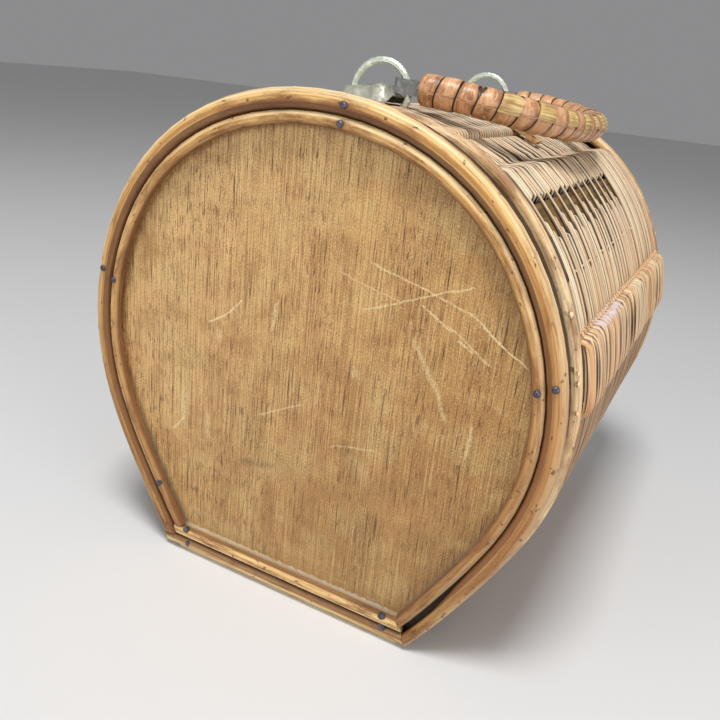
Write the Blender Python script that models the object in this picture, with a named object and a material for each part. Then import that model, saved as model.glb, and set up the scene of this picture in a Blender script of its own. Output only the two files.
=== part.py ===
"""A wicker basket bag: plywood ends, a woven body on cane hoops, a hinged lid and a bow handle.

Metres, +Z up. The origin is the middle of the base board's underside. X runs across the basket and
Y along it, with the front end at -Y. The lid hinges on its -X edge and the handle lies to +X.
"""
from math import atan2, cos, degrees, pi, radians, sin, sqrt, tan

import bmesh
import bpy
from mathutils import Vector

# Driving dimensions of the whole basket
BODY_LENGTH = 0.255
RIM_HALF_WIDTH = 0.1185
RIM_CENTRE_HEIGHT = 0.1063
# How far the rim's outline leaves a circle, as shares of its half width
OVAL_SHARE = -0.0841
EGG_SHARE = 0.0506
SQUARE_SHARE = 0.0215
LEAN_SHARE = -0.0107
SEAT_GAP = 0.0003
CUT_OVERRUN = 0.002

# Ends
OUTER_ROD_WIDTH = 0.0082
OUTER_ROD_DEPTH = 0.006
# The outer rod thins towards its lower ends
RIGHT_END_WIDTH_SHARE = 0.66
LEFT_END_WIDTH_SHARE = 0.84
THINNING_START_DEG = -28.0
THINNING_END_DEG = -48.0
INNER_ROD_DIAMETER = 0.0055
BASE_ROD_DIAMETER = 0.0058
BASE_ROD_LIFT = 0.0003
PANEL_THICKNESS = 0.0062
PANEL_INSET = 0.0015
HOOP_DIAMETER = 0.0075
HOOP_STANDOUT = 0.002

# Nails through the outer and the inner rim rod
OUTER_NAIL_ANGLES_DEG = {"right": 18.5, "top": 84.0, "left": 162.0}
INNER_NAIL_ANGLES_DEG = {"right": 17.4, "top": 84.2, "left": 163.6}
NAIL_HEAD_DIAMETER = 0.0032
NAIL_HEAD_HEIGHT = 0.001
NAIL_SHANK_DIAMETER = 0.0014
NAIL_HOLE_CLEARANCE = 0.0003

# Base board and the two rods along the lower corners
BOARD_THICKNESS = 0.0015
BOARD_HALF_WIDTH = 0.064
BOARD_END_SETBACK = 0.003
BASE_RAIL_DIAMETER = 0.0064
BASE_RAIL_INSET = 0.0045

# Woven sides
WEAVE_THICKNESS = 0.0055
WEAVE_STANDOUT = 0.002
BAND_BULGE = 0.004
BAND_CENTRE_DEG = 18.5
BAND_HALF_WIDTH_DEG = 8.5
RIDGE_RISE = 0.0005
RIDGE_DEG = 56.0
SHELF_DEG = 60.5
SIDE_RAIL_DIAMETER = 0.008
SLAT_WIDTH = 0.019
SLAT_THICKNESS = 0.0022
SLAT_CLEARANCE = 0.0003
UPPER_SLAT_DEG = 45.0
LOWER_SLAT_DEG = -22.0
# Windows in the weave, through which each slat shows between the strands that go over it
SLAT_WINDOWS = 16
WINDOW_HEIGHT = 0.0168
OVER_STRAND_WIDTH = 0.0027
OPENING_RAIL_DIAMETER = 0.006
OPENING_RAIL_DROP_DEG = 35.0

# Lid
LID_DROP = 0.0045
LID_ROD_SPACING_SHARE = 0.346
LID_ROD_DIAMETER = 0.005
LID_STICK_DIAMETER = 0.0045
LID_END_GAP = 0.0025
LID_THICKNESS = 0.005
LID_SKIN = 0.001
BATTEN_WIDTH = 0.008
BATTEN_DEPTH = 0.0024
LID_OPEN_DEG = 100.0

# Cane loops that hinge the lid
HINGE_LOOP_INSET = 0.0219
HINGE_LOOP_WIDTH = 0.005
HINGE_LOOP_THICKNESS = 0.0012
HINGE_CLEARANCE = 0.00035
HINGE_NOTCH_CLEARANCE = 0.0005

# Lid closure, a flat cane loop with an eye over a wooden peg
TAB_WIDTH = 0.0096
TAB_THICKNESS = 0.0014
# How far it reaches from the lid's rod, over the lid and over the side, and how far the peg stands
TAB_LID_REACH = 0.013
TAB_SIDE_REACH = 0.0148
PEG_REACH = 0.01
PEG_DIAMETER = 0.003
PEG_HEAD_DIAMETER = 0.0044
PEG_HEAD_HEIGHT = 0.002
PEG_RISE = 0.004
PEG_DEPTH = 0.007
PEG_CLEARANCE = 0.0003
EYE_CLEARANCE = 0.001

# Rings that stand on the lid and the metal straps that hold them
RING_INSET = 0.03605
RING_RADIUS = 0.0137
RING_FOOT_DEPTH = 0.0097
RING_WIRE_DIAMETER = 0.0031
RING_SLOT_CLEARANCE = 0.0005
STRAP_THICKNESS = 0.001
STRAP_LEFT_REACH = 0.0101
STRAP_RIGHT_REACH = 0.006
STRAP_LEFT_RISE = 0.0055
STRAP_RIGHT_RISE = 0.0042
STRAP_HALF_SPAN = 0.007
STRAP_FOOT = 0.007

# Handle
HANDLE_DIAMETER = 0.014
HANDLE_CORE_DIAMETER = 0.0084
HANDLE_WRAP_CLEARANCE = 0.0004
HANDLE_START_X = 0.0204
HANDLE_REACH_X = 0.0767
# Above the middle of the rings
HANDLE_START_RISE = 0.0033
HANDLE_SLOPE_DEG = 2.6
# The bow sags towards its middle, and its back arm lies a little lower than its front arm
HANDLE_SAG = 0.0057
HANDLE_BACK_DROP = 0.001
HANDLE_SQUARENESS = 2.7
LOOP_STRIP_WIDTH = 0.0065
LOOP_STRIP_THICKNESS = 0.0008
LOOP_WIRE_CLEARANCE = 0.00035
LOOP_SETBACK = 0.0037
LOOP_LEG_LENGTH = 0.014
TONGUE_CLEARANCE = 0.0003

# Facets of the curves
ARC_STEPS = 60
SHELL_STEPS = 48
OUTER_ROD_SIDES = 10
ROD_SIDES = 8
RAIL_SIDES = 16
RING_STEPS = 28
RING_SIDES = 8
HANDLE_STEPS = 32
HANDLE_SIDES = 12
NAIL_SIDES = 10
LOOP_STEPS = 6

PINE = (0.62, 0.40, 0.17)
CANE = (0.60, 0.34, 0.12)
WICKER = (0.66, 0.36, 0.17)
BROWN_SLAT = (0.25, 0.13, 0.05)
PALE_BOARD = (0.72, 0.60, 0.38)
RED_CANE = (0.45, 0.17, 0.06)
GREY_METAL = (0.33, 0.32, 0.30)
PALE_METAL = (0.62, 0.66, 0.58)
NAIL_METAL = (0.12, 0.12, 0.13)

ALONG = Vector((0, 1, 0))
UP = Vector((0, 0, 1))
HALF_LENGTH = BODY_LENGTH / 2


def rim_radius(angle):
    """Distance of the rim's outline from its centre, at an angle from +X."""
    shape = 1 - OVAL_SHARE - SQUARE_SHARE
    shape += OVAL_SHARE * cos(2 * angle) + EGG_SHARE * sin(3 * angle)
    shape += SQUARE_SHARE * cos(4 * angle) + LEAN_SHARE * sin(5 * angle)
    return RIM_HALF_WIDTH * shape


def rim_radius_change(angle):
    """How fast rim_radius changes with the angle."""
    change = -2 * OVAL_SHARE * sin(2 * angle) + 3 * EGG_SHARE * cos(3 * angle)
    change += -4 * SQUARE_SHARE * sin(4 * angle) + 5 * LEAN_SHARE * cos(5 * angle)
    return RIM_HALF_WIDTH * change


def rim_normal(angle):
    """Outward normal of the rim's outline."""
    radius = rim_radius(angle)
    change = rim_radius_change(angle)
    normal = Vector((radius * cos(angle) + change * sin(angle), 0, radius * sin(angle) - change * cos(angle)))
    return normal.normalized()


def rim_point(angle, offset):
    """A point of the rim's outline, moved out by an offset."""
    radius = rim_radius(angle)
    base = Vector((radius * cos(angle), 0, RIM_CENTRE_HEIGHT + radius * sin(angle)))
    return base + offset * rim_normal(angle)


def angle_where(wanted, measure, low, high):
    """The angle between low and high at which a rising measure reaches the wanted value."""
    for _ in range(50):
        middle = (low + high) / 2
        if measure(middle) < wanted:
            low = middle
        else:
            high = middle
    return (low + high) / 2


def angle_at_height(height, offset):
    """The angle on the lower right at which the offset outline passes a height."""
    return angle_where(height, lambda a: rim_point(a, offset).z, radians(-70), 0)


def angle_at_x(x, offset):
    """The angle on the upper right at which the offset outline passes a distance from the middle."""
    return angle_where(-x, lambda a: -rim_point(a, offset).x, radians(30), radians(90))


def outer_rod_width(angle):
    """Width of the outer rim rod, which thins towards its lower ends."""
    at = degrees(angle)
    end_share = RIGHT_END_WIDTH_SHARE if at < 90 else LEFT_END_WIDTH_SHARE
    at = min(at, 180 - at)
    reach = (THINNING_START_DEG - at) / (THINNING_START_DEG - THINNING_END_DEG)
    reach = min(1, max(0, reach))
    ease = reach * reach * (3 - 2 * reach)
    return OUTER_ROD_WIDTH * (1 - (1 - end_share) * ease)


def clear_scene():
    for old in list(bpy.data.objects):
        bpy.data.objects.remove(old, do_unlink=True)


def finish_object(name, shape, colour, roughness=0.6, metallic=0.0, sharp_deg=40.0):
    """Turns a bmesh into a named object with its own material."""
    bmesh.ops.recalc_face_normals(shape, faces=shape.faces)
    mesh = bpy.data.meshes.new(name)
    shape.to_mesh(mesh)
    shape.free()
    mesh.shade_smooth()
    mesh.set_sharp_from_angle(angle=radians(sharp_deg))
    piece = bpy.data.objects.new(name, mesh)
    bpy.context.scene.collection.objects.link(piece)
    material = bpy.data.materials.new(name)
    material.use_nodes = True
    shader = material.node_tree.nodes["Principled BSDF"]
    shader.inputs["Base Color"].default_value = (*colour, 1)
    shader.inputs["Roughness"].default_value = roughness
    shader.inputs["Metallic"].default_value = metallic
    mesh.materials.append(material)
    return piece


def as_cutter(piece):
    piece.hide_render = True
    piece.display_type = "WIRE"
    return piece


def cut(piece, cutter):
    step = piece.modifiers.new(cutter.name, "BOOLEAN")
    step.operation = "DIFFERENCE"
    step.solver = "EXACT"
    step.object = cutter


def fill_between(shape, loop, other):
    """Quads between two closed loops of as many vertices."""
    count = len(loop)
    for i in range(count):
        j = (i + 1) % count
        shape.faces.new((loop[i], loop[j], other[j], other[i]))


def prism(shape, outline, start_y, end_y):
    """A solid that follows an outline in XZ from one Y to another."""
    near = [shape.verts.new((p.x, start_y, p.z)) for p in outline]
    far = [shape.verts.new((p.x, end_y, p.z)) for p in outline]
    fill_between(shape, near, far)
    shape.faces.new(near)
    shape.faces.new(list(reversed(far)))


def strip_prism(shape, outer, inner, start_y, end_y, closed=False):
    """A solid between two outlines in XZ, either an open strip or a closed ring."""
    rows = []
    for line, y in ((outer, start_y), (outer, end_y), (inner, end_y), (inner, start_y)):
        rows.append([shape.verts.new((p.x, y, p.z)) for p in line])
    count = len(outer)
    for i in range(count if closed else count - 1):
        j = (i + 1) % count
        for k in range(4):
            following = rows[(k + 1) % 4]
            shape.faces.new((rows[k][i], rows[k][j], following[j], following[i]))
    if not closed:
        shape.faces.new([row[0] for row in rows])
        shape.faces.new([row[-1] for row in reversed(rows)])


def sweep_rings(shape, path, side, radius, sides, closed=False, cuts=(None, None), reaches=None):
    """Rings of vertices along a path whose bends lie near the plane that side is square to.

    Each ring lies on the mitre plane of its corner. A cut is a point and a normal that an end ring
    is slid onto. The radius is the one along side, and reaches holds the one across for each point.
    """
    rings = []
    last = len(path) - 1
    for i, centre in enumerate(path):
        before = centre - path[i - 1] if i or closed else path[1] - centre
        after = path[(i + 1) % len(path)] - centre if i < last or closed else centre - path[i - 1]
        before = before.normalized()
        mitre = (before + after.normalized()).normalized()
        plane_point = centre
        if not closed and i in (0, last) and cuts[0 if i == 0 else 1]:
            plane_point, mitre = cuts[0 if i == 0 else 1]
        level = (side - before * side.dot(before)).normalized()
        across = level.cross(before)
        ring = []
        for k in range(sides):
            turn = 2 * pi * (k + 1 / 2) / sides
            reach = reaches[i] if reaches else radius
            spot = centre + radius * cos(turn) * level + reach * sin(turn) * across
            spot += before * ((plane_point - spot).dot(mitre) / before.dot(mitre))
            ring.append(shape.verts.new(spot))
        rings.append(ring)
    for i in range(len(rings) if closed else last):
        fill_between(shape, rings[i], rings[(i + 1) % len(rings)])
    return rings


def rod(name, path, side, diameter, sides, colour, closed=False, cuts=(None, None), reaches=None):
    """A round rod along a path, or one as wide as twice the reaches."""
    shape = bmesh.new()
    rings = sweep_rings(shape, path, side, diameter / 2, sides, closed, cuts, reaches)
    if not closed:
        shape.faces.new(rings[0])
        shape.faces.new(list(reversed(rings[-1])))
    return finish_object(name, shape, colour, 0.5)


def straight_rod(name, x, z, diameter, start_y, end_y, sides, colour):
    """A round rod along Y."""
    path = [Vector((x, start_y, z)), Vector((x, end_y, z))]
    return rod(name, path, UP, diameter, sides, colour)


def box(shape, centre, size, turn=0.0):
    """A block, turned about Y by an angle in radians from +X towards +Z."""
    along = Vector((cos(turn), 0, sin(turn)))
    rise = Vector((-sin(turn), 0, cos(turn)))
    corners = []
    for sx, sz in ((-1, -1), (1, -1), (1, 1), (-1, 1)):
        corners.append(centre + along * (sx * size[0] / 2) + rise * (sz * size[2] / 2))
    prism(shape, corners, centre.y - size[1] / 2, centre.y + size[1] / 2)


def mirrored(points):
    return [Vector((-p.x, p.y, p.z)) for p in points]


# Levels that several pieces share
board_top = BOARD_THICKNESS
outer_base_height = board_top + BASE_ROD_LIFT + BASE_ROD_DIAMETER / 2
inner_base_height = outer_base_height + BASE_ROD_DIAMETER + SEAT_GAP
rod_depth = OUTER_ROD_DEPTH
panel_front = rod_depth + SEAT_GAP
panel_back = panel_front + PANEL_THICKNESS
hoop_depth = panel_back + SEAT_GAP + HOOP_DIAMETER / 2
hoop_back = hoop_depth + HOOP_DIAMETER / 2
inside_end = HALF_LENGTH - hoop_back - SEAT_GAP
inner_rod_offset = -OUTER_ROD_WIDTH - SEAT_GAP - INNER_ROD_DIAMETER / 2

lid_rod_offset = -LID_DROP - LID_ROD_DIAMETER / 2
lid_rod_x = LID_ROD_SPACING_SHARE * RIM_HALF_WIDTH
lid_rod_angle = angle_at_x(lid_rod_x, lid_rod_offset)
lid_rod_centre = rim_point(lid_rod_angle, lid_rod_offset)
lid_rod_normal = rim_normal(lid_rod_angle)
lid_rod_downhill = Vector((lid_rod_normal.z, 0, -lid_rod_normal.x))
rail_spacing = (LID_ROD_DIAMETER + OPENING_RAIL_DIAMETER) / 2 + SEAT_GAP
rail_reach = rail_spacing * cos(radians(OPENING_RAIL_DROP_DEG))
rail_drop = rail_spacing * sin(radians(OPENING_RAIL_DROP_DEG))
opening_rail_centre = lid_rod_centre + lid_rod_downhill * rail_reach - lid_rod_normal * rail_drop

lid_end = inside_end + SEAT_GAP - LID_END_GAP
lid_stick_y = lid_end - LID_STICK_DIAMETER / 2
lid_weave_end = lid_end - LID_STICK_DIAMETER - SEAT_GAP

batten_top = rim_point(pi / 2, -LID_DROP).z - LID_SKIN - SEAT_GAP
ring_centre_z = batten_top - BATTEN_DEPTH - SEAT_GAP + RING_FOOT_DEPTH - RING_WIRE_DIAMETER / 2
ring_y = inside_end - RING_INSET
peg_x = lid_rod_x + PEG_REACH

hinge_loop_y = inside_end - HINGE_LOOP_INSET
hinge_loop_places = {"front": -hinge_loop_y, "middle": 0.0, "back": hinge_loop_y}


def weave_offset(angle):
    """How far the woven side's outer face stands out from the rim's outline."""
    at = degrees(angle)
    reach = abs(at - BAND_CENTRE_DEG) / BAND_HALF_WIDTH_DEG
    bulge = BAND_BULGE * sqrt(1 - reach ** 4) if reach < 1 else 0
    if at <= RIDGE_DEG:
        rise = RIDGE_RISE * max(0, 1 - (RIDGE_DEG - at) / BAND_HALF_WIDTH_DEG)
        return WEAVE_STANDOUT + bulge + rise
    share = min(1, (at - RIDGE_DEG) / (SHELF_DEG - RIDGE_DEG))
    ease = share * share * (3 - 2 * share)
    top = WEAVE_STANDOUT + RIDGE_RISE
    return top + (-LID_DROP - top) * ease


def make_end(word, outward):
    """The panel, rods, hoop and nails of one end. outward is -1 at the front and 1 at the back."""

    def place(depth):
        return outward * (HALF_LENGTH - depth)

    def moved(points, depth):
        return [Vector((p.x, place(depth), p.z)) for p in points]

    def arc(offset, low_height, steps):
        start = angle_at_height(low_height, offset)
        sweep = pi - 2 * start
        return [rim_point(start + sweep * i / steps, offset) for i in range(steps + 1)]

    def outer_arc(low_height, steps):
        start = angle_at_height(low_height, -OUTER_ROD_WIDTH / 2)
        turns = [start + (pi - 2 * start) * i / steps for i in range(steps + 1)]
        reaches = [outer_rod_width(turn) / 2 for turn in turns]
        return [rim_point(turn, -reach) for turn, reach in zip(turns, reaches)], reaches

    # Panel
    low = board_top + SEAT_GAP
    shape = bmesh.new()
    prism(shape, arc(-PANEL_INSET, low, ARC_STEPS), place(panel_front), place(panel_back))
    panel = finish_object(word + "_end_panel", shape, PINE, 0.55)

    # Hoop behind the panel
    hoop_offset = HOOP_STANDOUT - HOOP_DIAMETER / 2
    hoop_path = moved(arc(hoop_offset, low + HOOP_DIAMETER / 2, SHELL_STEPS), hoop_depth)
    rod(word + "_frame_hoop", hoop_path, ALONG, HOOP_DIAMETER, ROD_SIDES, CANE, closed=True)

    # Rods on the panel's face. They stop on a mitre at the right corner and on the base rods at the left.
    corner = rim_point(angle_at_height(outer_base_height - BASE_ROD_DIAMETER / 2, 0), 0)
    edge = rim_normal(angle_at_height(outer_base_height, 0))
    mitre = (edge + Vector((0, 0, -1))).normalized()
    mitre = Vector((-mitre.z, 0, mitre.x))
    arc_side = corner + mitre * (SEAT_GAP / 2)
    base_side = corner - mitre * (SEAT_GAP / 2)
    bars = (
        ("outer", OUTER_NAIL_ANGLES_DEG, -OUTER_ROD_WIDTH / 2, OUTER_ROD_DEPTH, OUTER_ROD_SIDES, outer_base_height),
        ("inner", INNER_NAIL_ANGLES_DEG, inner_rod_offset, INNER_ROD_DIAMETER, ROD_SIDES, inner_base_height),
    )
    nails = []
    rods = []
    base_depth = rod_depth - BASE_ROD_DIAMETER / 2
    for rank, nail_angles, offset, thickness, sides, base_height in bars:
        for where, angle_deg in nail_angles.items():
            name = "_".join((word, rank, "nail", where))
            nails.append((name, rim_point(radians(angle_deg), offset), rod_depth - thickness - SEAT_GAP))
        rest = base_height + BASE_ROD_DIAMETER / 2 + SEAT_GAP
        if rank == "outer":
            line, reaches = outer_arc(rest, ARC_STEPS)
        else:
            line, reaches = arc(offset, rest, ARC_STEPS), None
        bar = rod(
            word + "_" + rank + "_rim_rod", moved(line, rod_depth - thickness / 2), ALONG, thickness, sides, CANE,
            cuts=((arc_side, mitre), (Vector((0, 0, rest)), UP)), reaches=reaches,
        )
        rods.append(bar)
        stop = rim_point(angle_at_height(base_height, 0), -SEAT_GAP)
        if rank == "inner":
            stop = rim_point(angle_at_height(base_height, 0), -OUTER_ROD_WIDTH - SEAT_GAP)
        left_stop = Vector((-stop.x, 0, stop.z))
        left_edge = Vector((-edge.x, 0, edge.z))
        reach = stop.x - BASE_ROD_DIAMETER
        path = [Vector((reach, place(base_depth), base_height)), Vector((-reach, place(base_depth), base_height))]
        rod(
            word + "_" + rank + "_base_rod", path, ALONG, BASE_ROD_DIAMETER, ROD_SIDES, CANE,
            cuts=((base_side, mitre), (left_stop, left_edge)),
        )

    # Nails through the rim rods and the panel
    shape = bmesh.new()
    hole_radius = NAIL_SHANK_DIAMETER / 2 + NAIL_HOLE_CLEARANCE
    for name, spot, seat in nails:
        make_nail(name, spot, place, seat)
        ends = (place(-CUT_OVERRUN), place(panel_back + CUT_OVERRUN))
        path = [Vector((spot.x, end, spot.z)) for end in ends]
        rings = sweep_rings(shape, path, UP, hole_radius, NAIL_SIDES)
        shape.faces.new(rings[0])
        shape.faces.new(list(reversed(rings[1])))
    holes = as_cutter(finish_object(word + "_nail_holes", shape, NAIL_METAL))
    for piece in (panel, *rods):
        cut(piece, holes)


def make_nail(name, spot, place, seat):
    """A round-headed nail whose head sits at a depth on the rod."""
    shape = bmesh.new()
    head = NAIL_HEAD_DIAMETER / 2
    shank = NAIL_SHANK_DIAMETER / 2
    profile = [
        (seat - NAIL_HEAD_HEIGHT, head / 2), (seat - NAIL_HEAD_HEIGHT / 2, head * 9 / 10), (seat, head),
        (seat, shank), (panel_back - SEAT_GAP, shank),
    ]
    rings = []
    for depth, radius in profile:
        ring = []
        for k in range(NAIL_SIDES):
            turn = 2 * pi * k / NAIL_SIDES
            ring.append(shape.verts.new((spot.x + radius * cos(turn), place(depth), spot.z + radius * sin(turn))))
        rings.append(ring)
    for near, far in zip(rings, rings[1:]):
        fill_between(shape, near, far)
    shape.faces.new(rings[0])
    shape.faces.new(list(reversed(rings[-1])))
    finish_object(name, shape, NAIL_METAL, 0.5, 1.0)


def hinge_notches(centre, radius, places, width):
    """Short drums along Y that clear room for cane loops round a rod."""
    shape = bmesh.new()
    for y in places:
        path = [Vector((centre.x, y - width / 2, centre.z)), Vector((centre.x, y + width / 2, centre.z))]
        rings = sweep_rings(shape, path, UP, radius, RAIL_SIDES)
        shape.faces.new(rings[0])
        shape.faces.new(list(reversed(rings[1])))
    return shape


def make_side(word, hand):
    """The woven side with its slats and rails. hand is 1 on the right and -1 on the left."""

    def handed(points):
        return points if hand > 0 else mirrored(points)

    # Rods along the edges
    base_angle = angle_at_height(board_top + SEAT_GAP + BASE_RAIL_DIAMETER / 2, -BASE_RAIL_INSET)
    base_rail = rim_point(base_angle, -BASE_RAIL_INSET)
    straight_rod(
        word + "_base_rail", hand * base_rail.x, base_rail.z, BASE_RAIL_DIAMETER,
        -inside_end, inside_end, RAIL_SIDES, CANE,
    )
    straight_rod(
        word + "_opening_rail", hand * opening_rail_centre.x, opening_rail_centre.z, OPENING_RAIL_DIAMETER,
        -inside_end, inside_end, RAIL_SIDES, CANE,
    )
    band_angle = radians(BAND_CENTRE_DEG)
    rail_offset = weave_offset(band_angle) - WEAVE_THICKNESS - SEAT_GAP - SIDE_RAIL_DIAMETER / 2
    side_rail = rim_point(band_angle, rail_offset)
    straight_rod(
        word + "_side_rail", hand * side_rail.x, side_rail.z, SIDE_RAIL_DIAMETER,
        -inside_end, inside_end, RAIL_SIDES, CANE,
    )

    # The weave as one skin from the base rail to the opening rail
    low_step = (BASE_RAIL_DIAMETER / 2 + 2 * SEAT_GAP) / rim_radius(base_angle)
    top_angle = angle_at_x(opening_rail_centre.x, lid_rod_offset - rail_drop)
    top_step = (OPENING_RAIL_DIAMETER / 2 + 2 * SEAT_GAP) / rim_radius(top_angle)
    start = base_angle + low_step
    sweep = top_angle - top_step - start
    angles = [start + sweep * i / SHELL_STEPS for i in range(SHELL_STEPS + 1)]
    outer = [rim_point(a, weave_offset(a)) for a in angles]
    inner = [rim_point(a, weave_offset(a) - WEAVE_THICKNESS) for a in angles]
    shape = bmesh.new()
    strip_prism(shape, handed(outer), handed(inner), -inside_end, inside_end)
    weave = finish_object(word + "_side_weave", shape, WICKER, 0.7)

    # Flat slats that run through the weave
    for rank, angle_deg in (("upper", UPPER_SLAT_DEG), ("lower", LOWER_SLAT_DEG)):
        angle = radians(angle_deg)
        centre = rim_point(angle, weave_offset(angle) - WEAVE_THICKNESS / 2)
        normal = rim_normal(angle)
        turn = atan2(normal.x, -normal.z) - pi
        centre.x *= hand
        turn *= hand
        size = (SLAT_WIDTH, 2 * inside_end, SLAT_THICKNESS)
        shape = bmesh.new()
        box(shape, centre, size, turn)
        finish_object(word + "_" + rank + "_slat", shape, BROWN_SLAT, 0.6)
        room = (size[0] + 2 * SLAT_CLEARANCE, size[1] + 2 * CUT_OVERRUN, size[2] + 2 * SLAT_CLEARANCE)
        shape = bmesh.new()
        box(shape, centre, room, turn)
        cut(weave, as_cutter(finish_object(word + "_" + rank + "_slat_room", shape, BROWN_SLAT)))

        shape = bmesh.new()
        outward = Vector((hand * normal.x, 0, normal.z))
        spacing = 2 * inside_end / SLAT_WINDOWS
        for i in range(SLAT_WINDOWS):
            window = centre + outward * (WEAVE_THICKNESS / 2)
            window.y = -inside_end + spacing * (i + 1 / 2)
            box(shape, window, (WINDOW_HEIGHT, spacing - OVER_STRAND_WIDTH, WEAVE_THICKNESS), turn)
        cut(weave, as_cutter(finish_object(word + "_" + rank + "_slat_windows", shape, BROWN_SLAT)))
    return weave


def make_base():
    shape = bmesh.new()
    end = HALF_LENGTH - BOARD_END_SETBACK
    box(shape, Vector((0, 0, BOARD_THICKNESS / 2)), (2 * BOARD_HALF_WIDTH, 2 * end, BOARD_THICKNESS))
    finish_object("base_board", shape, PALE_BOARD, 0.6)


def lid_line(offset, start_x, steps):
    """Points across the lid at an offset from the rim's outline, from start_x to -start_x."""
    start = angle_at_x(start_x, offset)
    sweep = pi - 2 * start
    return [rim_point(start + sweep * i / steps, offset) for i in range(steps + 1)]


def make_lid():
    """The lid's frame and weave."""
    for word, hand in (("right", 1), ("left", -1)):
        straight_rod(
            "lid_" + word + "_rod", hand * lid_rod_centre.x, lid_rod_centre.z, LID_ROD_DIAMETER,
            -lid_end, lid_end, RAIL_SIDES, CANE,
        )
    skin_edge = lid_rod_x - (LID_ROD_DIAMETER / 2 + SEAT_GAP) / lid_rod_normal.z
    steps = SHELL_STEPS // 3
    for word, outward in (("front", -1), ("back", 1)):
        path = lid_line(-LID_DROP - LID_STICK_DIAMETER / 2, skin_edge, steps)
        path = [Vector((p.x, outward * lid_stick_y, p.z)) for p in path]
        rod("lid_" + word + "_stick", path, ALONG, LID_STICK_DIAMETER, ROD_SIDES, CANE)

    shape = bmesh.new()
    outer = lid_line(-LID_DROP, skin_edge, steps)
    inner = lid_line(-LID_DROP - LID_THICKNESS, skin_edge - SEAT_GAP, steps)
    strip_prism(shape, outer, inner, -lid_weave_end, lid_weave_end)
    weave = finish_object("lid_weave", shape, WICKER, 0.7)

    return weave


def make_batten(weave):
    """The half-round batten along the lid that the rings go round, and the slots for the rings."""
    round_radius = ((BATTEN_WIDTH / 2) ** 2 + BATTEN_DEPTH ** 2) / (2 * BATTEN_DEPTH)

    def half_round(grow):
        radius = round_radius + grow
        top = batten_top + grow
        centre_z = batten_top - BATTEN_DEPTH + round_radius
        half = sqrt(radius ** 2 - (top - centre_z) ** 2) if radius > abs(top - centre_z) else radius
        start = atan2(top - centre_z, half)
        sweep = -pi - 2 * start
        steps_here = 2 * LOOP_STEPS
        turns = [start + sweep * i / steps_here for i in range(steps_here + 1)]
        return [Vector((radius * cos(t), 0, centre_z + radius * sin(t))) for t in turns]

    shape = bmesh.new()
    prism(shape, half_round(0), -lid_weave_end, lid_weave_end)
    finish_object("lid_batten", shape, BROWN_SLAT, 0.6)
    shape = bmesh.new()
    prism(shape, half_round(SEAT_GAP), -lid_weave_end - CUT_OVERRUN, lid_weave_end + CUT_OVERRUN)
    cut(weave, as_cutter(finish_object("lid_batten_room", shape, BROWN_SLAT)))

    # Slots in the weave that the rings stand in
    shape = bmesh.new()
    reach = RING_RADIUS + RING_WIRE_DIAMETER / 2 + RING_SLOT_CLEARANCE
    width = RING_WIRE_DIAMETER + 2 * RING_SLOT_CLEARANCE
    for y in (-ring_y, ring_y):
        box(shape, Vector((0, y, batten_top)), (2 * reach, width, 4 * LID_THICKNESS))
    cut(weave, as_cutter(finish_object("ring_slots", shape, WICKER)))


def stadium(first, first_radius, second, second_radius):
    """A closed outline in XZ round two circles, each as half a turn."""
    way = atan2(second.z - first.z, second.x - first.x)
    points = []
    for centre, radius, start in ((first, first_radius, way + pi / 2), (second, second_radius, way - pi / 2)):
        for i in range(2 * LOOP_STEPS + 1):
            turn = start + pi * i / (2 * LOOP_STEPS)
            points.append(Vector((centre.x + radius * cos(turn), 0, centre.z + radius * sin(turn))))
    return points


def make_hinge(lid_weave, left_weave):
    """Cane loops round the lid's left rod and the rail beside it."""
    lid_rod = Vector((-lid_rod_centre.x, 0, lid_rod_centre.z))
    rail = Vector((-opening_rail_centre.x, 0, opening_rail_centre.z))
    lid_radius = LID_ROD_DIAMETER / 2 + HINGE_CLEARANCE
    rail_radius = OPENING_RAIL_DIAMETER / 2 + SEAT_GAP
    for word, y in hinge_loop_places.items():
        shape = bmesh.new()
        inner = stadium(lid_rod, lid_radius, rail, rail_radius)
        outer = stadium(lid_rod, lid_radius + HINGE_LOOP_THICKNESS, rail, rail_radius + HINGE_LOOP_THICKNESS)
        strip_prism(shape, outer, inner, y - HINGE_LOOP_WIDTH / 2, y + HINGE_LOOP_WIDTH / 2, closed=True)
        finish_object(word + "_hinge_loop", shape, CANE, 0.6)
    width = HINGE_LOOP_WIDTH + 2 * HINGE_NOTCH_CLEARANCE
    extra = HINGE_LOOP_THICKNESS + HINGE_NOTCH_CLEARANCE
    places = hinge_loop_places.values()
    notches = hinge_notches(lid_rod, lid_radius + extra, places, width)
    cut(lid_weave, as_cutter(finish_object("lid_hinge_notches", notches, WICKER)))
    notches = hinge_notches(rail, rail_radius + extra, places, width)
    cut(left_weave, as_cutter(finish_object("side_hinge_notches", notches, WICKER)))


def upright_drum(shape, x, radius, low, high):
    """A cylinder along Z on the middle of the basket's length."""
    rings = []
    for z in (low, high):
        ring = []
        for k in range(RAIL_SIDES):
            turn = 2 * pi * k / RAIL_SIDES
            ring.append(shape.verts.new((x + radius * cos(turn), radius * sin(turn), z)))
        rings.append(ring)
    fill_between(shape, rings[0], rings[1])
    shape.faces.new(rings[0])
    shape.faces.new(list(reversed(rings[1])))


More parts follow.
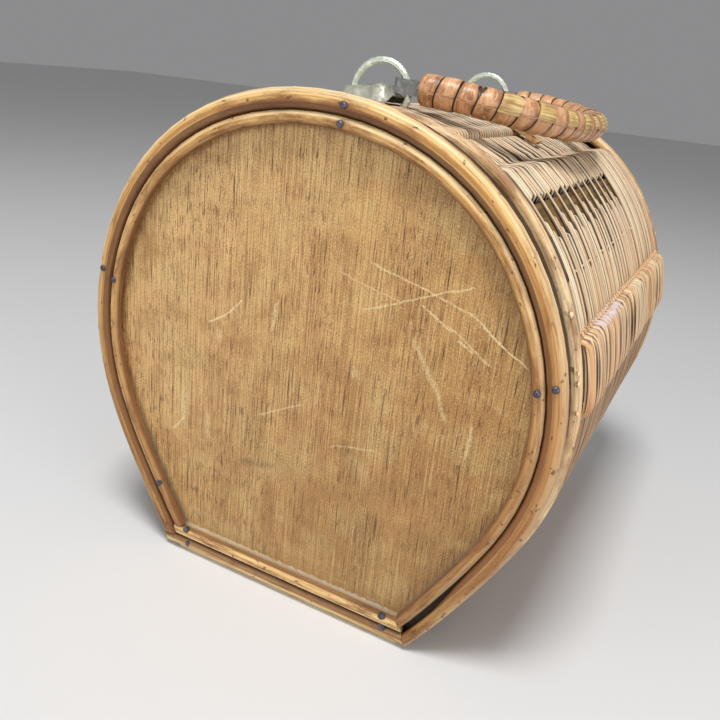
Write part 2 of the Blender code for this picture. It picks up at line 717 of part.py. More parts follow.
def make_closure(right_weave):
    """A flat loop on the lid whose eye drops over a peg in the right side."""
    low_offset = -LID_DROP + SEAT_GAP
    angles = [angle_at_x(x, low_offset) for x in (lid_rod_x - TAB_LID_REACH, lid_rod_x + TAB_SIDE_REACH)]
    steps = SHELL_STEPS // 3
    turns = [angles[0] + (angles[1] - angles[0]) * i / steps for i in range(steps + 1)]
    shape = bmesh.new()
    upper = [rim_point(a, low_offset + TAB_THICKNESS) for a in turns]
    lower = [rim_point(a, low_offset) for a in turns]
    strip_prism(shape, upper, lower, -TAB_WIDTH / 2, TAB_WIDTH / 2)
    tab = finish_object("closure_loop", shape, CANE, 0.6)

    face = rim_point(angle_at_x(peg_x, -LID_DROP), -LID_DROP).z
    shape = bmesh.new()
    low = face - PEG_DEPTH
    neck = face + TAB_THICKNESS + PEG_RISE - PEG_HEAD_HEIGHT
    profile = (
        (low, PEG_DIAMETER / 2), (neck, PEG_DIAMETER / 2), (neck + PEG_HEAD_HEIGHT / 2, PEG_HEAD_DIAMETER / 2),
        (neck + PEG_HEAD_HEIGHT, PEG_HEAD_DIAMETER / 4),
    )
    rings = []
    for z, radius in profile:
        ring = []
        for k in range(RAIL_SIDES):
            turn = 2 * pi * k / RAIL_SIDES
            ring.append(shape.verts.new((peg_x + radius * cos(turn), radius * sin(turn), z)))
        rings.append(ring)
    for below, above in zip(rings, rings[1:]):
        fill_between(shape, below, above)
    shape.faces.new(rings[0])
    shape.faces.new(list(reversed(rings[-1])))
    finish_object("closure_peg", shape, CANE, 0.6)

    shape = bmesh.new()
    upright_drum(shape, peg_x, PEG_HEAD_DIAMETER / 2 + EYE_CLEARANCE, face - PEG_DEPTH, face + PEG_DEPTH)
    cut(tab, as_cutter(finish_object("loop_eye", shape, CANE)))
    shape = bmesh.new()
    upright_drum(shape, peg_x, PEG_DIAMETER / 2 + PEG_CLEARANCE, face - 2 * PEG_DEPTH, face + PEG_DEPTH)
    cut(right_weave, as_cutter(finish_object("peg_hole", shape, WICKER)))


def make_rings():
    """The wire rings that stand on the lid, and the sheet straps over them."""
    face = rim_point(pi / 2, -LID_DROP).z + SEAT_GAP
    for word, y in (("front", -ring_y), ("back", ring_y)):
        turns = [2 * pi * i / RING_STEPS for i in range(RING_STEPS)]
        path = []
        for t in turns:
            height = RING_RADIUS if sin(t) > 0 else RING_FOOT_DEPTH
            path.append(Vector((RING_RADIUS * cos(t), y, ring_centre_z + height * sin(t))))
        rod(word + "_ring", path, ALONG, RING_WIRE_DIAMETER, RING_SIDES, PALE_METAL, closed=True)

        # A sheet arched over the ring's foot, taller at its left end
        shape = bmesh.new()
        edges = []
        for x, rise in ((-STRAP_LEFT_REACH, STRAP_LEFT_RISE), (STRAP_RIGHT_REACH, STRAP_RIGHT_RISE)):
            steps_y = [-STRAP_HALF_SPAN - STRAP_FOOT, -STRAP_HALF_SPAN, -STRAP_HALF_SPAN * 3 / 4]
            steps_z = [face, face, face + rise * 4 / 5]
            steps_y += [-STRAP_HALF_SPAN / 3]
            steps_z += [face + rise]
            steps_y += [-v for v in reversed(steps_y)]
            steps_z += list(reversed(steps_z))
            under = [(x, y + v, h) for v, h in zip(steps_y, steps_z)]
            over = sheet_side(steps_y, steps_z, STRAP_THICKNESS)
            over = [(x, y + v, h) for v, h in over]
            edges.append([shape.verts.new(p) for p in under + list(reversed(over))])
        fill_between(shape, edges[0], edges[1])
        shape.faces.new(edges[0])
        shape.faces.new(list(reversed(edges[1])))
        finish_object(word + "_ring_strap", shape, GREY_METAL, 0.7, 1.0)


def sheet_side(steps_y, steps_z, thickness):
    """The other side of a bent sheet, a thickness away from a line of points."""
    points = [Vector((v, h)) for v, h in zip(steps_y, steps_z)]
    result = []
    for i, point in enumerate(points):
        before = (point - points[i - 1]).normalized() if i else (points[1] - point).normalized()
        after = (points[i + 1] - point).normalized() if i < len(points) - 1 else before
        normal = Vector((-(before + after).y, (before + after).x)).normalized()
        across = Vector((-before.y, before.x))
        result.append(tuple(point + normal * (thickness / normal.dot(across))))
    return result


def make_handle():
    """The bow: a stiff core, its cane wrapping and a folded metal loop on each ring."""
    slope = radians(HANDLE_SLOPE_DEG)
    lengthwise = Vector((cos(slope), 0, -sin(slope)))
    plane_normal = Vector((sin(slope), 0, cos(slope)))
    start = Vector((HANDLE_START_X, 0, ring_centre_z + HANDLE_START_RISE))
    reach = (HANDLE_REACH_X - HANDLE_START_X) / cos(slope)

    def bow(trim):
        points = []
        for i in range(HANDLE_STEPS + 1):
            turn = pi * i / HANDLE_STEPS
            out = reach * max(0.0, sin(turn)) ** (2 / HANDLE_SQUARENESS)
            side = abs(cos(turn)) ** (2 / HANDLE_SQUARENESS) * (-1 if cos(turn) > 0 else 1)
            sag = HANDLE_SAG * (out / reach) ** 2 + HANDLE_BACK_DROP * (side + 1) / 2
            points.append(start + lengthwise * out + ALONG * (ring_y * side) - UP * sag)
        points[0] = points[0] + lengthwise * trim
        points[-1] = points[-1] + lengthwise * trim
        return points

    bore = HANDLE_CORE_DIAMETER + 2 * HANDLE_WRAP_CLEARANCE
    shape = bmesh.new()
    path = bow(0)
    outside = sweep_rings(shape, path, plane_normal, HANDLE_DIAMETER / 2, HANDLE_SIDES)
    inside = sweep_rings(shape, path, plane_normal, bore / 2, HANDLE_SIDES)
    fill_between(shape, outside[0], inside[0])
    fill_between(shape, outside[-1], inside[-1])
    finish_object("handle_wrap", shape, RED_CANE, 0.5)

    core = rod("handle_core", bow(LOOP_STRIP_THICKNESS), plane_normal, HANDLE_CORE_DIAMETER, ROD_SIDES, CANE)

    # Where the handle's line crosses each ring, the folded loops
    fold_radius = RING_WIRE_DIAMETER / 2 + LOOP_WIRE_CLEARANCE
    tongue_sides = bmesh.new()
    for word, y, drop in (("front", -ring_y, 0), ("back", ring_y, HANDLE_BACK_DROP)):
        rise = start.z - drop + HANDLE_START_X * tan(slope) - ring_centre_z
        crossing_x = RING_RADIUS * cos(rise / RING_RADIUS)
        wire = Vector((crossing_x, 0, start.z - drop + (HANDLE_START_X - crossing_x) * tan(slope)))
        shape = bmesh.new()
        rows = []
        for radius in (fold_radius + LOOP_STRIP_THICKNESS, fold_radius):
            line = [(LOOP_LEG_LENGTH, -radius)]
            for i in range(2 * LOOP_STEPS + 1):
                turn = -pi / 2 - pi * i / (2 * LOOP_STEPS)
                line.append((-LOOP_SETBACK + radius * cos(turn), radius * sin(turn)))
            line.append((LOOP_LEG_LENGTH, radius))
            for level in (-LOOP_STRIP_WIDTH / 2, LOOP_STRIP_WIDTH / 2):
                spots = [wire + lengthwise * u + ALONG * (y + v) + plane_normal * level for u, v in line]
                rows.append([shape.verts.new(p) for p in spots])
        rows = [rows[0], rows[1], rows[3], rows[2]]
        for i in range(len(rows[0]) - 1):
            for k in range(4):
                following = rows[(k + 1) % 4]
                shape.faces.new((rows[k][i], rows[k][i + 1], following[i + 1], following[i]))
        shape.faces.new([row[0] for row in rows])
        shape.faces.new([row[-1] for row in reversed(rows)])
        finish_object(word + "_handle_loop", shape, GREY_METAL, 0.6, 1.0)

        # Room beside the core's tongue for the loop's two legs
        inner_face = fold_radius - TONGUE_CLEARANCE
        room_end = wire + lengthwise * (LOOP_LEG_LENGTH + TONGUE_CLEARANCE)
        room_start = wire - lengthwise * LOOP_LEG_LENGTH
        middle = (room_start + room_end) / 2
        length = (room_end - room_start).length
        for hand in (-1, 1):
            width = HANDLE_CORE_DIAMETER
            centre = middle + ALONG * (y + hand * (inner_face + width / 2))
            box(tongue_sides, centre, (length, width, 2 * HANDLE_CORE_DIAMETER), -slope)
    cut(core, as_cutter(finish_object("tongue_sides", tongue_sides, CANE)))


def main():
    clear_scene()
    make_end("front", -1)
    make_end("back", 1)
    make_base()
    right_weave = make_side("right", 1)
    left_weave = make_side("left", -1)
    lid_weave = make_lid()
    make_hinge(lid_weave, left_weave)
    make_batten(lid_weave)
    make_closure(right_weave)
    make_rings()
    make_handle()


main()
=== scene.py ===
"""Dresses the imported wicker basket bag: woven strands, cane wraps, grain and wear, light and camera."""
import random
from bisect import bisect_right
from math import atan2, cos, degrees, exp, hypot, pi, radians, sin, sqrt

import bpy
from mathutils import Matrix, Vector, noise


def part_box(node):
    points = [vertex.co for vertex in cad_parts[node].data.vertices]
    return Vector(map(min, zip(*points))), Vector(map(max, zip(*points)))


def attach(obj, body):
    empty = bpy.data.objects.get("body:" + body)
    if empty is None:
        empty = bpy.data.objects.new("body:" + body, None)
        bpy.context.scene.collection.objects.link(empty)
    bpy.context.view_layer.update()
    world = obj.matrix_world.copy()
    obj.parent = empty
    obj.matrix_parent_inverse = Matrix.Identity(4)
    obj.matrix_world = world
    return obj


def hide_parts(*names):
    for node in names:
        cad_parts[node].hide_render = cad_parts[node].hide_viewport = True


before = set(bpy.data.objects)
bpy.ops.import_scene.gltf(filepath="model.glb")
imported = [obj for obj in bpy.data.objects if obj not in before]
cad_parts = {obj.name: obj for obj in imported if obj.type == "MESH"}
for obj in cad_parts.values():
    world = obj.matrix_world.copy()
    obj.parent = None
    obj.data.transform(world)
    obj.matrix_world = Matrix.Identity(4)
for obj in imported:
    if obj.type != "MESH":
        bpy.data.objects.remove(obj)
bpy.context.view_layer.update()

# Outline of the ends, as the part has it, in metres and shares of the half width
RIM_HALF_WIDTH = 0.1185
RIM_CENTRE_HEIGHT = 0.1063
OVAL_SHARE = -0.0841
EGG_SHARE = 0.0506
SQUARE_SHARE = 0.0215
LEAN_SHARE = -0.0107

# Levels of the woven surface over that outline
WEAVE_STANDOUT = 0.002
BAND_BULGE = 0.004
BAND_CENTRE_DEG = 17.4
BAND_HALF_WIDTH_DEG = 7.7
RIDGE_RISE = 0.0005
RIDGE_DEG = 56.0
SHELF_DEG = 60.5
LID_DROP = 0.0045

# Strands
SIDE_STRANDS = 64
STRAND_WIDTH = 0.00315
STRAND_THICKNESS = 0.0009
# A strand's section: place across, level of its face, and the painted shade on its edges
STRAND_SECTION = (
    (-1, -1, 0.95), (-0.93, -0.4, 0.8), (-0.76, -0.12, 0.32), (-0.58, -0.05, 0.04), (0, 0, 0),
    (0.58, -0.05, 0.04), (0.76, -0.12, 0.32), (0.93, -0.4, 0.8), (1, -1, 0.95),
)
# How far each of those moves where the strand's front side falls off into a gap, which also deepens the
# painted shade there
STRAND_CUT = (
    (0, 0, 0), (0.3, -0.4, 0.15), (0.86, -0.12, 0.66), (0.82, -0.02, 0), (0.42, 0, 0),
    (0, 0, 0), (0, 0, 0), (0, 0, 0), (0, 0, 0),
)
SIDE_START_DEG = -50.5
LINING_DEPTH = 0.0046
LINING_THICKNESS = 0.0008
UPPER_SLAT_DEG = 45.0
LOWER_SLAT_DEG = -22.0
SLAT_HALF_DEG = 4.35
LOWER_SLAT_HALF_DEG = 5.0
UNDER_SLAT_DEPTH = 0.0042
OVER_WIDTH = 0.0021
# The slat shows in windows between these strands up to this place along the basket
WINDOWS_END_Y = 0.042
WINDOW_TIP_DEGS = (0, 46.6, 44.8, 42.9)
SLIT_END_DEG = 34.6
DASH_STICK_DEG = 35.6
DASH_STICK_RADIUS = 0.0005
SEAM_TOP_DEG = 25.1
SEAM_LOW_DEG = 9.7

# Handle, as the part has it
HANDLE_RADIUS = 0.007
HANDLE_START_X = 0.0204
HANDLE_REACH_X = 0.0767
HANDLE_START_RISE = 0.0033
HANDLE_SLOPE_DEG = 2.6
HANDLE_SAG = 0.0057
HANDLE_BACK_DROP = 0.0028
HANDLE_SQUARENESS = 2.7
WRAP_WIDTH = 0.0082
FIRST_STRAW_WRAP = 4

side_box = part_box("right_side_weave")
inside_end = side_box[1].y
pitch = 2 * inside_end / SIDE_STRANDS


def middle_of(node):
    low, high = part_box(node)
    return (low + high) / 2


def size_of(node):
    low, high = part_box(node)
    return high - low


# Shapes

def rim_radius(angle):
    shape = 1 - OVAL_SHARE - SQUARE_SHARE
    shape += OVAL_SHARE * cos(2 * angle) + EGG_SHARE * sin(3 * angle)
    shape += SQUARE_SHARE * cos(4 * angle) + LEAN_SHARE * sin(5 * angle)
    return RIM_HALF_WIDTH * shape


def rim_normal(angle):
    change = -2 * OVAL_SHARE * sin(2 * angle) + 3 * EGG_SHARE * cos(3 * angle)
    change += -4 * SQUARE_SHARE * sin(4 * angle) + 5 * LEAN_SHARE * cos(5 * angle)
    change *= RIM_HALF_WIDTH
    radius = rim_radius(angle)
    out = Vector((cos(angle), 0, sin(angle)))
    ahead = Vector((sin(angle), 0, -cos(angle)))
    return (radius * out + change * ahead).normalized()


def rim_point(at, offset):
    """A point of the outline at an angle in degrees from +X, moved out by an offset."""
    angle = radians(at)
    radius = rim_radius(angle)
    base = Vector((radius * cos(angle), 0, RIM_CENTRE_HEIGHT + radius * sin(angle)))
    return base + offset * rim_normal(angle)


def ease(value, start, end):
    """0 up to start, 1 from end on, and smooth between. start may lie above end."""
    share = min(1, max(0, (value - start) / (end - start)))
    return share * share * (3 - 2 * share)


def weave_offset(at):
    """How far the woven side's outer face stands out from the outline."""
    reach = abs(at - BAND_CENTRE_DEG) / BAND_HALF_WIDTH_DEG
    bulge = BAND_BULGE * sqrt(1 - reach ** 4) if reach < 1 else 0
    if at <= RIDGE_DEG:
        rise = RIDGE_RISE * max(0, 1 - (RIDGE_DEG - at) / BAND_HALF_WIDTH_DEG)
        return WEAVE_STANDOUT + bulge + rise
    top = WEAVE_STANDOUT + RIDGE_RISE
    return top + (-LID_DROP - top) * ease(at, RIDGE_DEG, SHELF_DEG)


class Solid:
    """Points, faces and values of one mesh in the making."""

    def __init__(self):
        self.points = []
        self.faces = []
        self.tones = []
        self.places = []

    def ring(self, spots, tone=0.0, places=None):
        """Adds points with their tones and map places, and gives their numbers."""
        first = len(self.points)
        self.points += [tuple(spot) for spot in spots]
        self.tones += tone if isinstance(tone, list) else [tone] * len(spots)
        self.places += places or [(0.0, 0.0)] * len(spots)
        return list(range(first, first + len(spots)))

    def join(self, ring, other, flip):
        """Faces between two rings."""
        for i in range(len(ring)):
            j = (i + 1) % len(ring)
            face = (ring[i], ring[j], other[j], other[i])
            self.faces.append(face[::-1] if flip else face)

    def cap(self, ring, flip):
        self.faces.append(tuple(reversed(ring)) if flip else tuple(ring))

    def tube(self, rings, flip=False):
        """A skin over a row of rings, with both ends closed."""
        for near, far in zip(rings, rings[1:]):
            self.join(near, far, flip)
        self.cap(rings[0], not flip)
        self.cap(rings[-1], flip)

    def loop(self, rings, flip=False):
        """A skin over rings whose last one meets the first."""
        for near, far in zip(rings, rings[1:] + rings[:1]):
            self.join(near, far, flip)

    def piece(self, name, material, body, sharp_deg=45.0):
        mesh = bpy.data.meshes.new(name)
        mesh.from_pydata(self.points, [], self.faces)
        tone = mesh.attributes.new("tone", "FLOAT", "POINT")
        tone.data.foreach_set("value", self.tones)
        layer = mesh.uv_layers.new(name="UVMap")
        corners = [value for loop in mesh.loops for value in self.places[loop.vertex_index]]
        layer.data.foreach_set("uv", corners)
        mesh.shade_smooth()
        mesh.set_sharp_from_angle(angle=radians(sharp_deg))
        mesh.materials.append(material)
        made = bpy.data.objects.new(name, mesh)
        bpy.context.scene.collection.objects.link(made)
        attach(made, body)
        return made


def add_strand(solid, stations, thickness, hand, start=0.0, bare=False):
    """A flat ribbon with a crowned face, through stations whose XZ run turns anticlockwise.

    A station gives a spot, the width, how dark it is, and how far the front side falls off; the section
    adds painted shade at the edges.
    A bare ribbon gets no painted shade on its sides, for where its side is open to the light.
    """
    line = [spot for spot, _, _, _ in stations]
    last = len(line) - 1
    rings = []
    run = start
    for i, (top, width, tone, cut) in enumerate(stations):
        ahead = line[min(i + 1, last)] - line[max(i - 1, 0)]
        ahead.y = 0
        ahead.normalize()
        normal = Vector((ahead.z, 0, -ahead.x))
        spots = []
        pairs = zip(STRAND_SECTION, STRAND_CUT)
        section = [[base + cut * move for base, move in zip(*pair)] for pair in pairs]
        for across, level, _ in section:
            spot = top + normal * (level * thickness)
            spot.y += across * width / 2
            spot.x *= hand
            spots.append(spot)
        if i:
            run += (top - line[i - 1]).length
        places = [(run, top.y + across * width / 2) for across, _, _ in section]
        # Painted shade of the section's edges laid over the station's darkness, except on a bare ribbon
        shades = [tone if bare else 1 - (1 - tone) * (1 - shade) for _, _, shade in section]
        rings.append(solid.ring(spots, shades, places))
    solid.tube(rings, hand < 0)


def add_sheet(solid, rows, thickness, tone=0.0):
    """A thin sheet through rows of points, with its lower face a thickness under them."""
    count = len(rows[0])
    lower = []
    for i, row in enumerate(rows):
        before, after = rows[max(i - 1, 0)], rows[min(i + 1, len(rows) - 1)]
        below = []
        for j, spot in enumerate(row):
            side = row[min(j + 1, count - 1)] - row[max(j - 1, 0)]
            normal = (after[j] - before[j]).cross(side).normalized()
            below.append(spot - normal * thickness)
        lower.append(below)
    rings = [solid.ring(row + below[::-1], tone) for row, below in zip(rows, lower)]
    for near, far in zip(rings, rings[1:]):
        solid.join(near, far, True)
    for ring, turned in ((rings[0], False), (rings[-1], True)):
        for j in range(count - 1):
            face = (ring[j], ring[j + 1], ring[2 * count - 2 - j], ring[2 * count - 1 - j])
            solid.faces.append(face[::-1] if turned else face)


def ripple(x, y, z):
    """Smooth noise at a place, from about -1 to 1."""
    return noise.noise(Vector((x, y, z)))


def circle(count):
    """Cosine and sine of equal turns."""
    return [(cos(2 * pi * j / count), sin(2 * pi * j / count)) for j in range(count)]


def steps_between(low, high, step, dense=(), dense_step=None):
    """Values from low to high, with a finer step inside the dense ranges."""
    values = [low]
    while values[-1] < high:
        at = values[-1]
        fine = any(start - step <= at <= end for start, end in dense)
        values.append(min(high, at + (dense_step if fine else step)))
    return values


def round_rod(centre, radius, start_deg, end_deg, steps):
    """Points round a rod that lies along Y, by angle from +X towards +Z."""
    turns = [radians(start_deg + (end_deg - start_deg) * i / steps) for i in range(steps + 1)]
    return [centre + Vector((radius * cos(t), 0, radius * sin(t))) for t in turns]


# Materials

def srgb(red, green, blue):
    """A linear colour from one as it looks on screen, 0 to 255."""
    parts = [c / 255 for c in (red, green, blue)]
    return (*[c / 12.92 if c <= 0.04045 else ((c + 0.055) / 1.055) ** 2.4 for c in parts], 1.0)


def feed(tree, socket, value):
    """Links a socket to another one, or gives it a value."""
    if isinstance(value, bpy.types.NodeSocket):
        tree.links.new(value, socket)
    else:
        socket.default_value = value


def add_node(tree, kind, *values):
    """A new shader node whose first inputs take the values."""
    node = tree.nodes.new("ShaderNode" + kind)
    for socket, value in zip(node.inputs, values):
        feed(tree, socket, value)
    return node


def add_math(tree, operation, *values):
    node = add_node(tree, "Math", *values)
    node.operation = operation
    return node.outputs[0]


def make_rim_group():
    """Nodes that turn a place into a run along the outline, a depth under it, and the place along Y."""
    group = bpy.data.node_groups.new("rim_run", "ShaderNodeTree")
    for label in ("Run", "Depth", "Along"):
        group.interface.new_socket(label, in_out="OUTPUT", socket_type="NodeSocketFloat")

    def math(operation, *values):
        return add_math(group, operation, *values)

    parts = add_node(group, "SeparateXYZ", add_node(group, "TexCoord").outputs["Object"]).outputs
    x = math("ABSOLUTE", parts[0])
    z = math("SUBTRACT", parts[2], RIM_CENTRE_HEIGHT)
    angle = math("ARCTAN2", z, x)
    radius = math("SQRT", math("ADD", math("MULTIPLY", x, x), math("MULTIPLY", z, z)))
    outline = 1 - OVAL_SHARE - SQUARE_SHARE
    waves = ((OVAL_SHARE, "COSINE"), (EGG_SHARE, "SINE"), (SQUARE_SHARE, "COSINE"), (LEAN_SHARE, "SINE"))
    for times, (share, wave) in enumerate(waves, 2):
        term = math("MULTIPLY", math(wave, math("MULTIPLY", angle, times)), share)
        outline = math("ADD", outline, term)
    depth = math("SUBTRACT", math("MULTIPLY", outline, RIM_HALF_WIDTH), radius)
    result = group.nodes.new("NodeGroupOutput")
    for socket, value in zip(result.inputs, (math("MULTIPLY", angle, RIM_HALF_WIDTH), depth, parts[1])):
        group.links.new(value, socket)
    return group


rim_group = make_rim_group()


class Shader:
    """A Principled material whose colour is laid on in coats, with short calls for its nodes."""

    def __init__(self, name, roughness, metallic=0.0):
        self.material = bpy.data.materials.new(name)
        self.material.use_nodes = True
        self.tree = self.material.node_tree
        self.surface = self.tree.nodes["Principled BSDF"]
        self.surface.inputs["Roughness"].default_value = roughness
        self.surface.inputs["Metallic"].default_value = metallic
        self.base = None

    def math(self, operation, *values):
        return add_math(self.tree, operation, *values)

    def times(self, first, second):
        return self.math("MULTIPLY", first, second)

    def plus(self, first, second):
        return self.math("ADD", first, second)

    def away(self, value, centre):
        """How far a value lies from a centre, either way."""
        return self.math("ABSOLUTE", self.plus(value, -centre))

    def sway(self, value, reach):
        """A noise value as a small move either way."""
        return self.times(self.plus(value, -0.5), reach)

    def where(self):
        """The place in the object's own coordinates."""
        return add_node(self.tree, "TexCoord").outputs["Object"]

    def place(self):
        """X, Y and Z of that place."""
        return add_node(self.tree, "SeparateXYZ", self.where()).outputs[:3]

    def rim(self):
        """Run along the outline, depth under it and place along Y."""
        node = add_node(self.tree, "Group")
        node.node_tree = rim_group
        return node.outputs[:3]

    def map_place(self):
        return add_node(self.tree, "SeparateXYZ", add_node(self.tree, "UVMap").outputs[0]).outputs[:2]

    def island(self):
        return add_node(self.tree, "NewGeometry").outputs["Random Per Island"]

    def tone(self):
        node = add_node(self.tree, "Attribute")
        node.attribute_name = "tone"
        return node.outputs["Fac"]

    def noise(self, vector, scale, detail, roughness=0.5):
        node = add_node(self.tree, "TexNoise", vector)
        for label, value in (("Scale", scale), ("Detail", detail), ("Roughness", roughness)):
            node.inputs[label].default_value = value
        return node.outputs["Fac"]

    def grain(self, places, detail=2.0, roughness=0.5):
        """Noise over three places, each a value, or a value with its scale."""
        scaled = [self.times(*place) if isinstance(place, tuple) else place for place in places]
        return self.noise(add_node(self.tree, "CombineXYZ", *scaled).outputs[0], 1.0, detail, roughness)

    def remap(self, value, low, high, to_low=0.0, to_high=1.0):
        return add_node(self.tree, "MapRange", value, low, high, to_low, to_high).outputs[0]

    def mix(self, factor, first, second):
        node = add_node(self.tree, "Mix")
        node.data_type = "RGBA"
        for index, value in ((0, factor), (6, first), (7, second)):
            feed(self.tree, node.inputs[index], value)
        return node.outputs[2]

    def begin(self, value, low, high, first, second):
        """Starts with one colour where a value is low and another where it is high."""
        self.base = self.mix(self.remap(value, low, high), srgb(*first), srgb(*second))

    def coat(self, factor, colour):
        """Lays a colour over what is there, by a factor."""
        self.base = self.mix(factor, self.base, srgb(*colour))

    def stain(self, value, low, high, most, colour):
        """Lays a colour on as a value goes from low to high, up to a factor."""
        self.coat(self.remap(value, low, high, 0.0, most), colour)

    def line_mark(self, x, z, start, end, width):
        """1 on a straight mark between two places of the XZ plane, fading over its width."""
        length = hypot(end[0] - start[0], end[1] - start[1])
        c, s = (end[0] - start[0]) / length, (end[1] - start[1]) / length
        along = self.plus(self.times(x, c), self.times(z, s))
        across = self.plus(self.times(x, -s), self.times(z, c))
        near = self.remap(self.away(across, start[1] * c - start[0] * s), width, width * 0.2)
        reach = self.away(along, start[0] * c + start[1] * s + length / 2)
        return self.times(near, self.remap(reach, length / 2 + width, length / 2 - width))

    def roughness(self, value):
        feed(self.tree, self.surface.inputs["Roughness"], value)

    def finish(self, height, distance, strength):
        """Takes the colour and the bumps as they are, and gives the material."""
        node = add_node(self.tree, "Bump")
        for label, value in (("Strength", strength), ("Distance", distance), ("Height", height)):
            feed(self.tree, node.inputs[label], value)
        feed(self.tree, self.surface.inputs["Normal"], node.outputs[0])
        feed(self.tree, self.surface.inputs["Base Color"], self.base)
        return self.material


# Depths of the two rim rods' sides under the outline, and heights of the base rods' sides
rod_sides = ((0.0, 0.0082), (0.0085, 0.014))
base_sides = tuple(
    (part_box("front_" + rank + "_base_rod")[0].z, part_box("front_" + rank + "_base_rod")[1].z)
    for rank in ("outer", "inner")
)


def wicker_material():
    """Split strands with fibres along them. The tone attribute lays on painted shade at the strands' edges,
    under the slat, in the seams, between the cord's beads and on the lining, and darkens some strands at
    random.
    """
    shader = Shader("side_wicker", 0.62)
    run, across = shader.map_place()
    rim_run, _, along = shader.rim()
    island = shader.island()
    shift = shader.times(island, 37.0)
    fibres = shader.grain(((run, 9.0), (across, 1500.0), shift), 2.0, 0.55)
    veins = shader.grain(((run, 16.0), (across, 2600.0), shift), 2.0, 0.6)
    stains = shader.grain(((run, 55.0), (across, 120.0), shift), 3.0, 0.6)
    shader.begin(island, 0.15, 0.85, (255, 240, 202), (234, 184, 134))
    shader.stain(rim_run, 0.062, 0.0, 0.6, (224, 160, 110))
    shader.stain(rim_run, 0.055, 0.085, 0.45, (255, 244, 216))
    shader.stain(fibres, 0.42, 0.62, 0.65, (222, 172, 120))
    shader.stain(stains, 0.54, 0.76, 0.6, (158, 106, 64))
    shader.stain(veins, 0.6, 0.7, 0.75, (142, 94, 56))
    # Painted shade from the tone attribute, with some random darkening
    shader.coat(shader.tone(), (34, 20, 11))
    # Old glue along the front stretch of the band's upper seam
    seam = shader.away(rim_run, radians(SEAM_TOP_DEG - 0.7) * RIM_HALF_WIDTH)
    stretch = shader.times(shader.remap(along, -0.088, -0.078), shader.remap(along, -0.03, -0.04))
    patches = shader.grain(((along, 190.0), (rim_run, 300.0), 1.0), 3.0)
    glue = shader.times(shader.remap(seam, 0.0028, 0.001), shader.remap(patches, 0.42, 0.52, 0.0, 0.8))
    shader.coat(shader.times(glue, stretch), (214, 204, 212))
    shader.roughness(shader.remap(fibres, 0.3, 0.7, 0.5, 0.72))
    return shader.finish(shader.plus(fibres, shader.times(veins, -0.6)), 0.0007, 0.7)


def cane_material(name, lines, pale, mid, dark, sides=(), inner_darkening=0.0, low_shade_dark_right=False):
    """Peeled cane. lines gives the run along the rod and the two places across it.

    sides holds, for rods side by side, where each one's two sides lie: each rod darkens towards its inner
    side there, with painted shade at both its edges and a painted highlight along its outer side.
    """
    shader = Shader(name, 0.42)
    run, first, second = lines(shader)
    streaks = shader.grain(((run, 12.0), (first, 520.0), (second, 520.0)), 3.0, 0.6)
    fine = shader.grain(((run, 40.0), (first, 1560.0), (second, 1560.0)))
    stains = shader.grain(((run, 30.0), (first, 130.0), (second, 130.0)), 5.0, 0.7)
    marks = shader.grain(((run, 260.0), (first, 390.0), (second, 390.0)))
    shader.begin(streaks, 0.38, 0.62, pale, mid)
    shader.stain(stains, 0.47, 0.62, 0.85, dark)
    moved = shader.plus(first, shader.sway(stains, 0.0035))
    for outer, inner in sides:
        middle, half = (outer + inner) / 2, (inner - outer) / 2
        reach = shader.away(first, middle)
        inside = shader.math("LESS_THAN", reach, half + (0.003 if (outer, inner) == sides[-1] else 0.0002))
        near_side = shader.remap(moved, middle + half * 0.1, inner - 0.0003, 0.0, inner_darkening)
        shader.coat(shader.times(near_side, inside), (130, 80, 40))
        # Painted shade along both edges of each rod
        ragged = shader.plus(reach, shader.sway(stains, 0.0035 / 4))
        rim = shader.remap(ragged, half * 0.74, half * 0.95, 0.0, 0.7)
        shader.coat(shader.times(rim, inside), (96, 56, 28))
        # Painted highlight along each rod's outer side
        painted_highlight = shader.remap(shader.math("ABSOLUTE", moved), outer + 0.0026, outer + 0.0012)
        painted_highlight = shader.times(painted_highlight, shader.math("LESS_THAN", reach, half + 0.0002))
        shader.coat(shader.times(painted_highlight, shader.remap(streaks, 0.4, 0.55, 0.3, 0.8)), (248, 222, 170))
    if low_shade_dark_right:
        # Painted shade lower down, and darker towards the right side
        x, _, z = shader.place()
        low = shader.plus(shader.times(z, -1.0), shader.sway(stains, 0.08))
        shader.stain(low, -0.17, -0.05, 0.5, (120, 76, 36))
        shader.stain(shader.plus(x, shader.sway(stains, 0.03)), 0.08, 0.112, 0.42, (160, 98, 48))
    shader.stain(fine, 0.56, 0.7, 0.65, dark)
    shader.stain(marks, 0.66, 0.72, 0.8, (84, 48, 22))
    shader.roughness(shader.remap(stains, 0.3, 0.7, 0.32, 0.58))
    return shader.finish(shader.plus(streaks, shader.times(fine, 0.4)), 0.0006, 0.9)


def lines_along_y(shader):
    x, y, z = shader.place()
    return y, x, z


def lines_along_x(shader):
    x, y, z = shader.place()
    return x, z, y


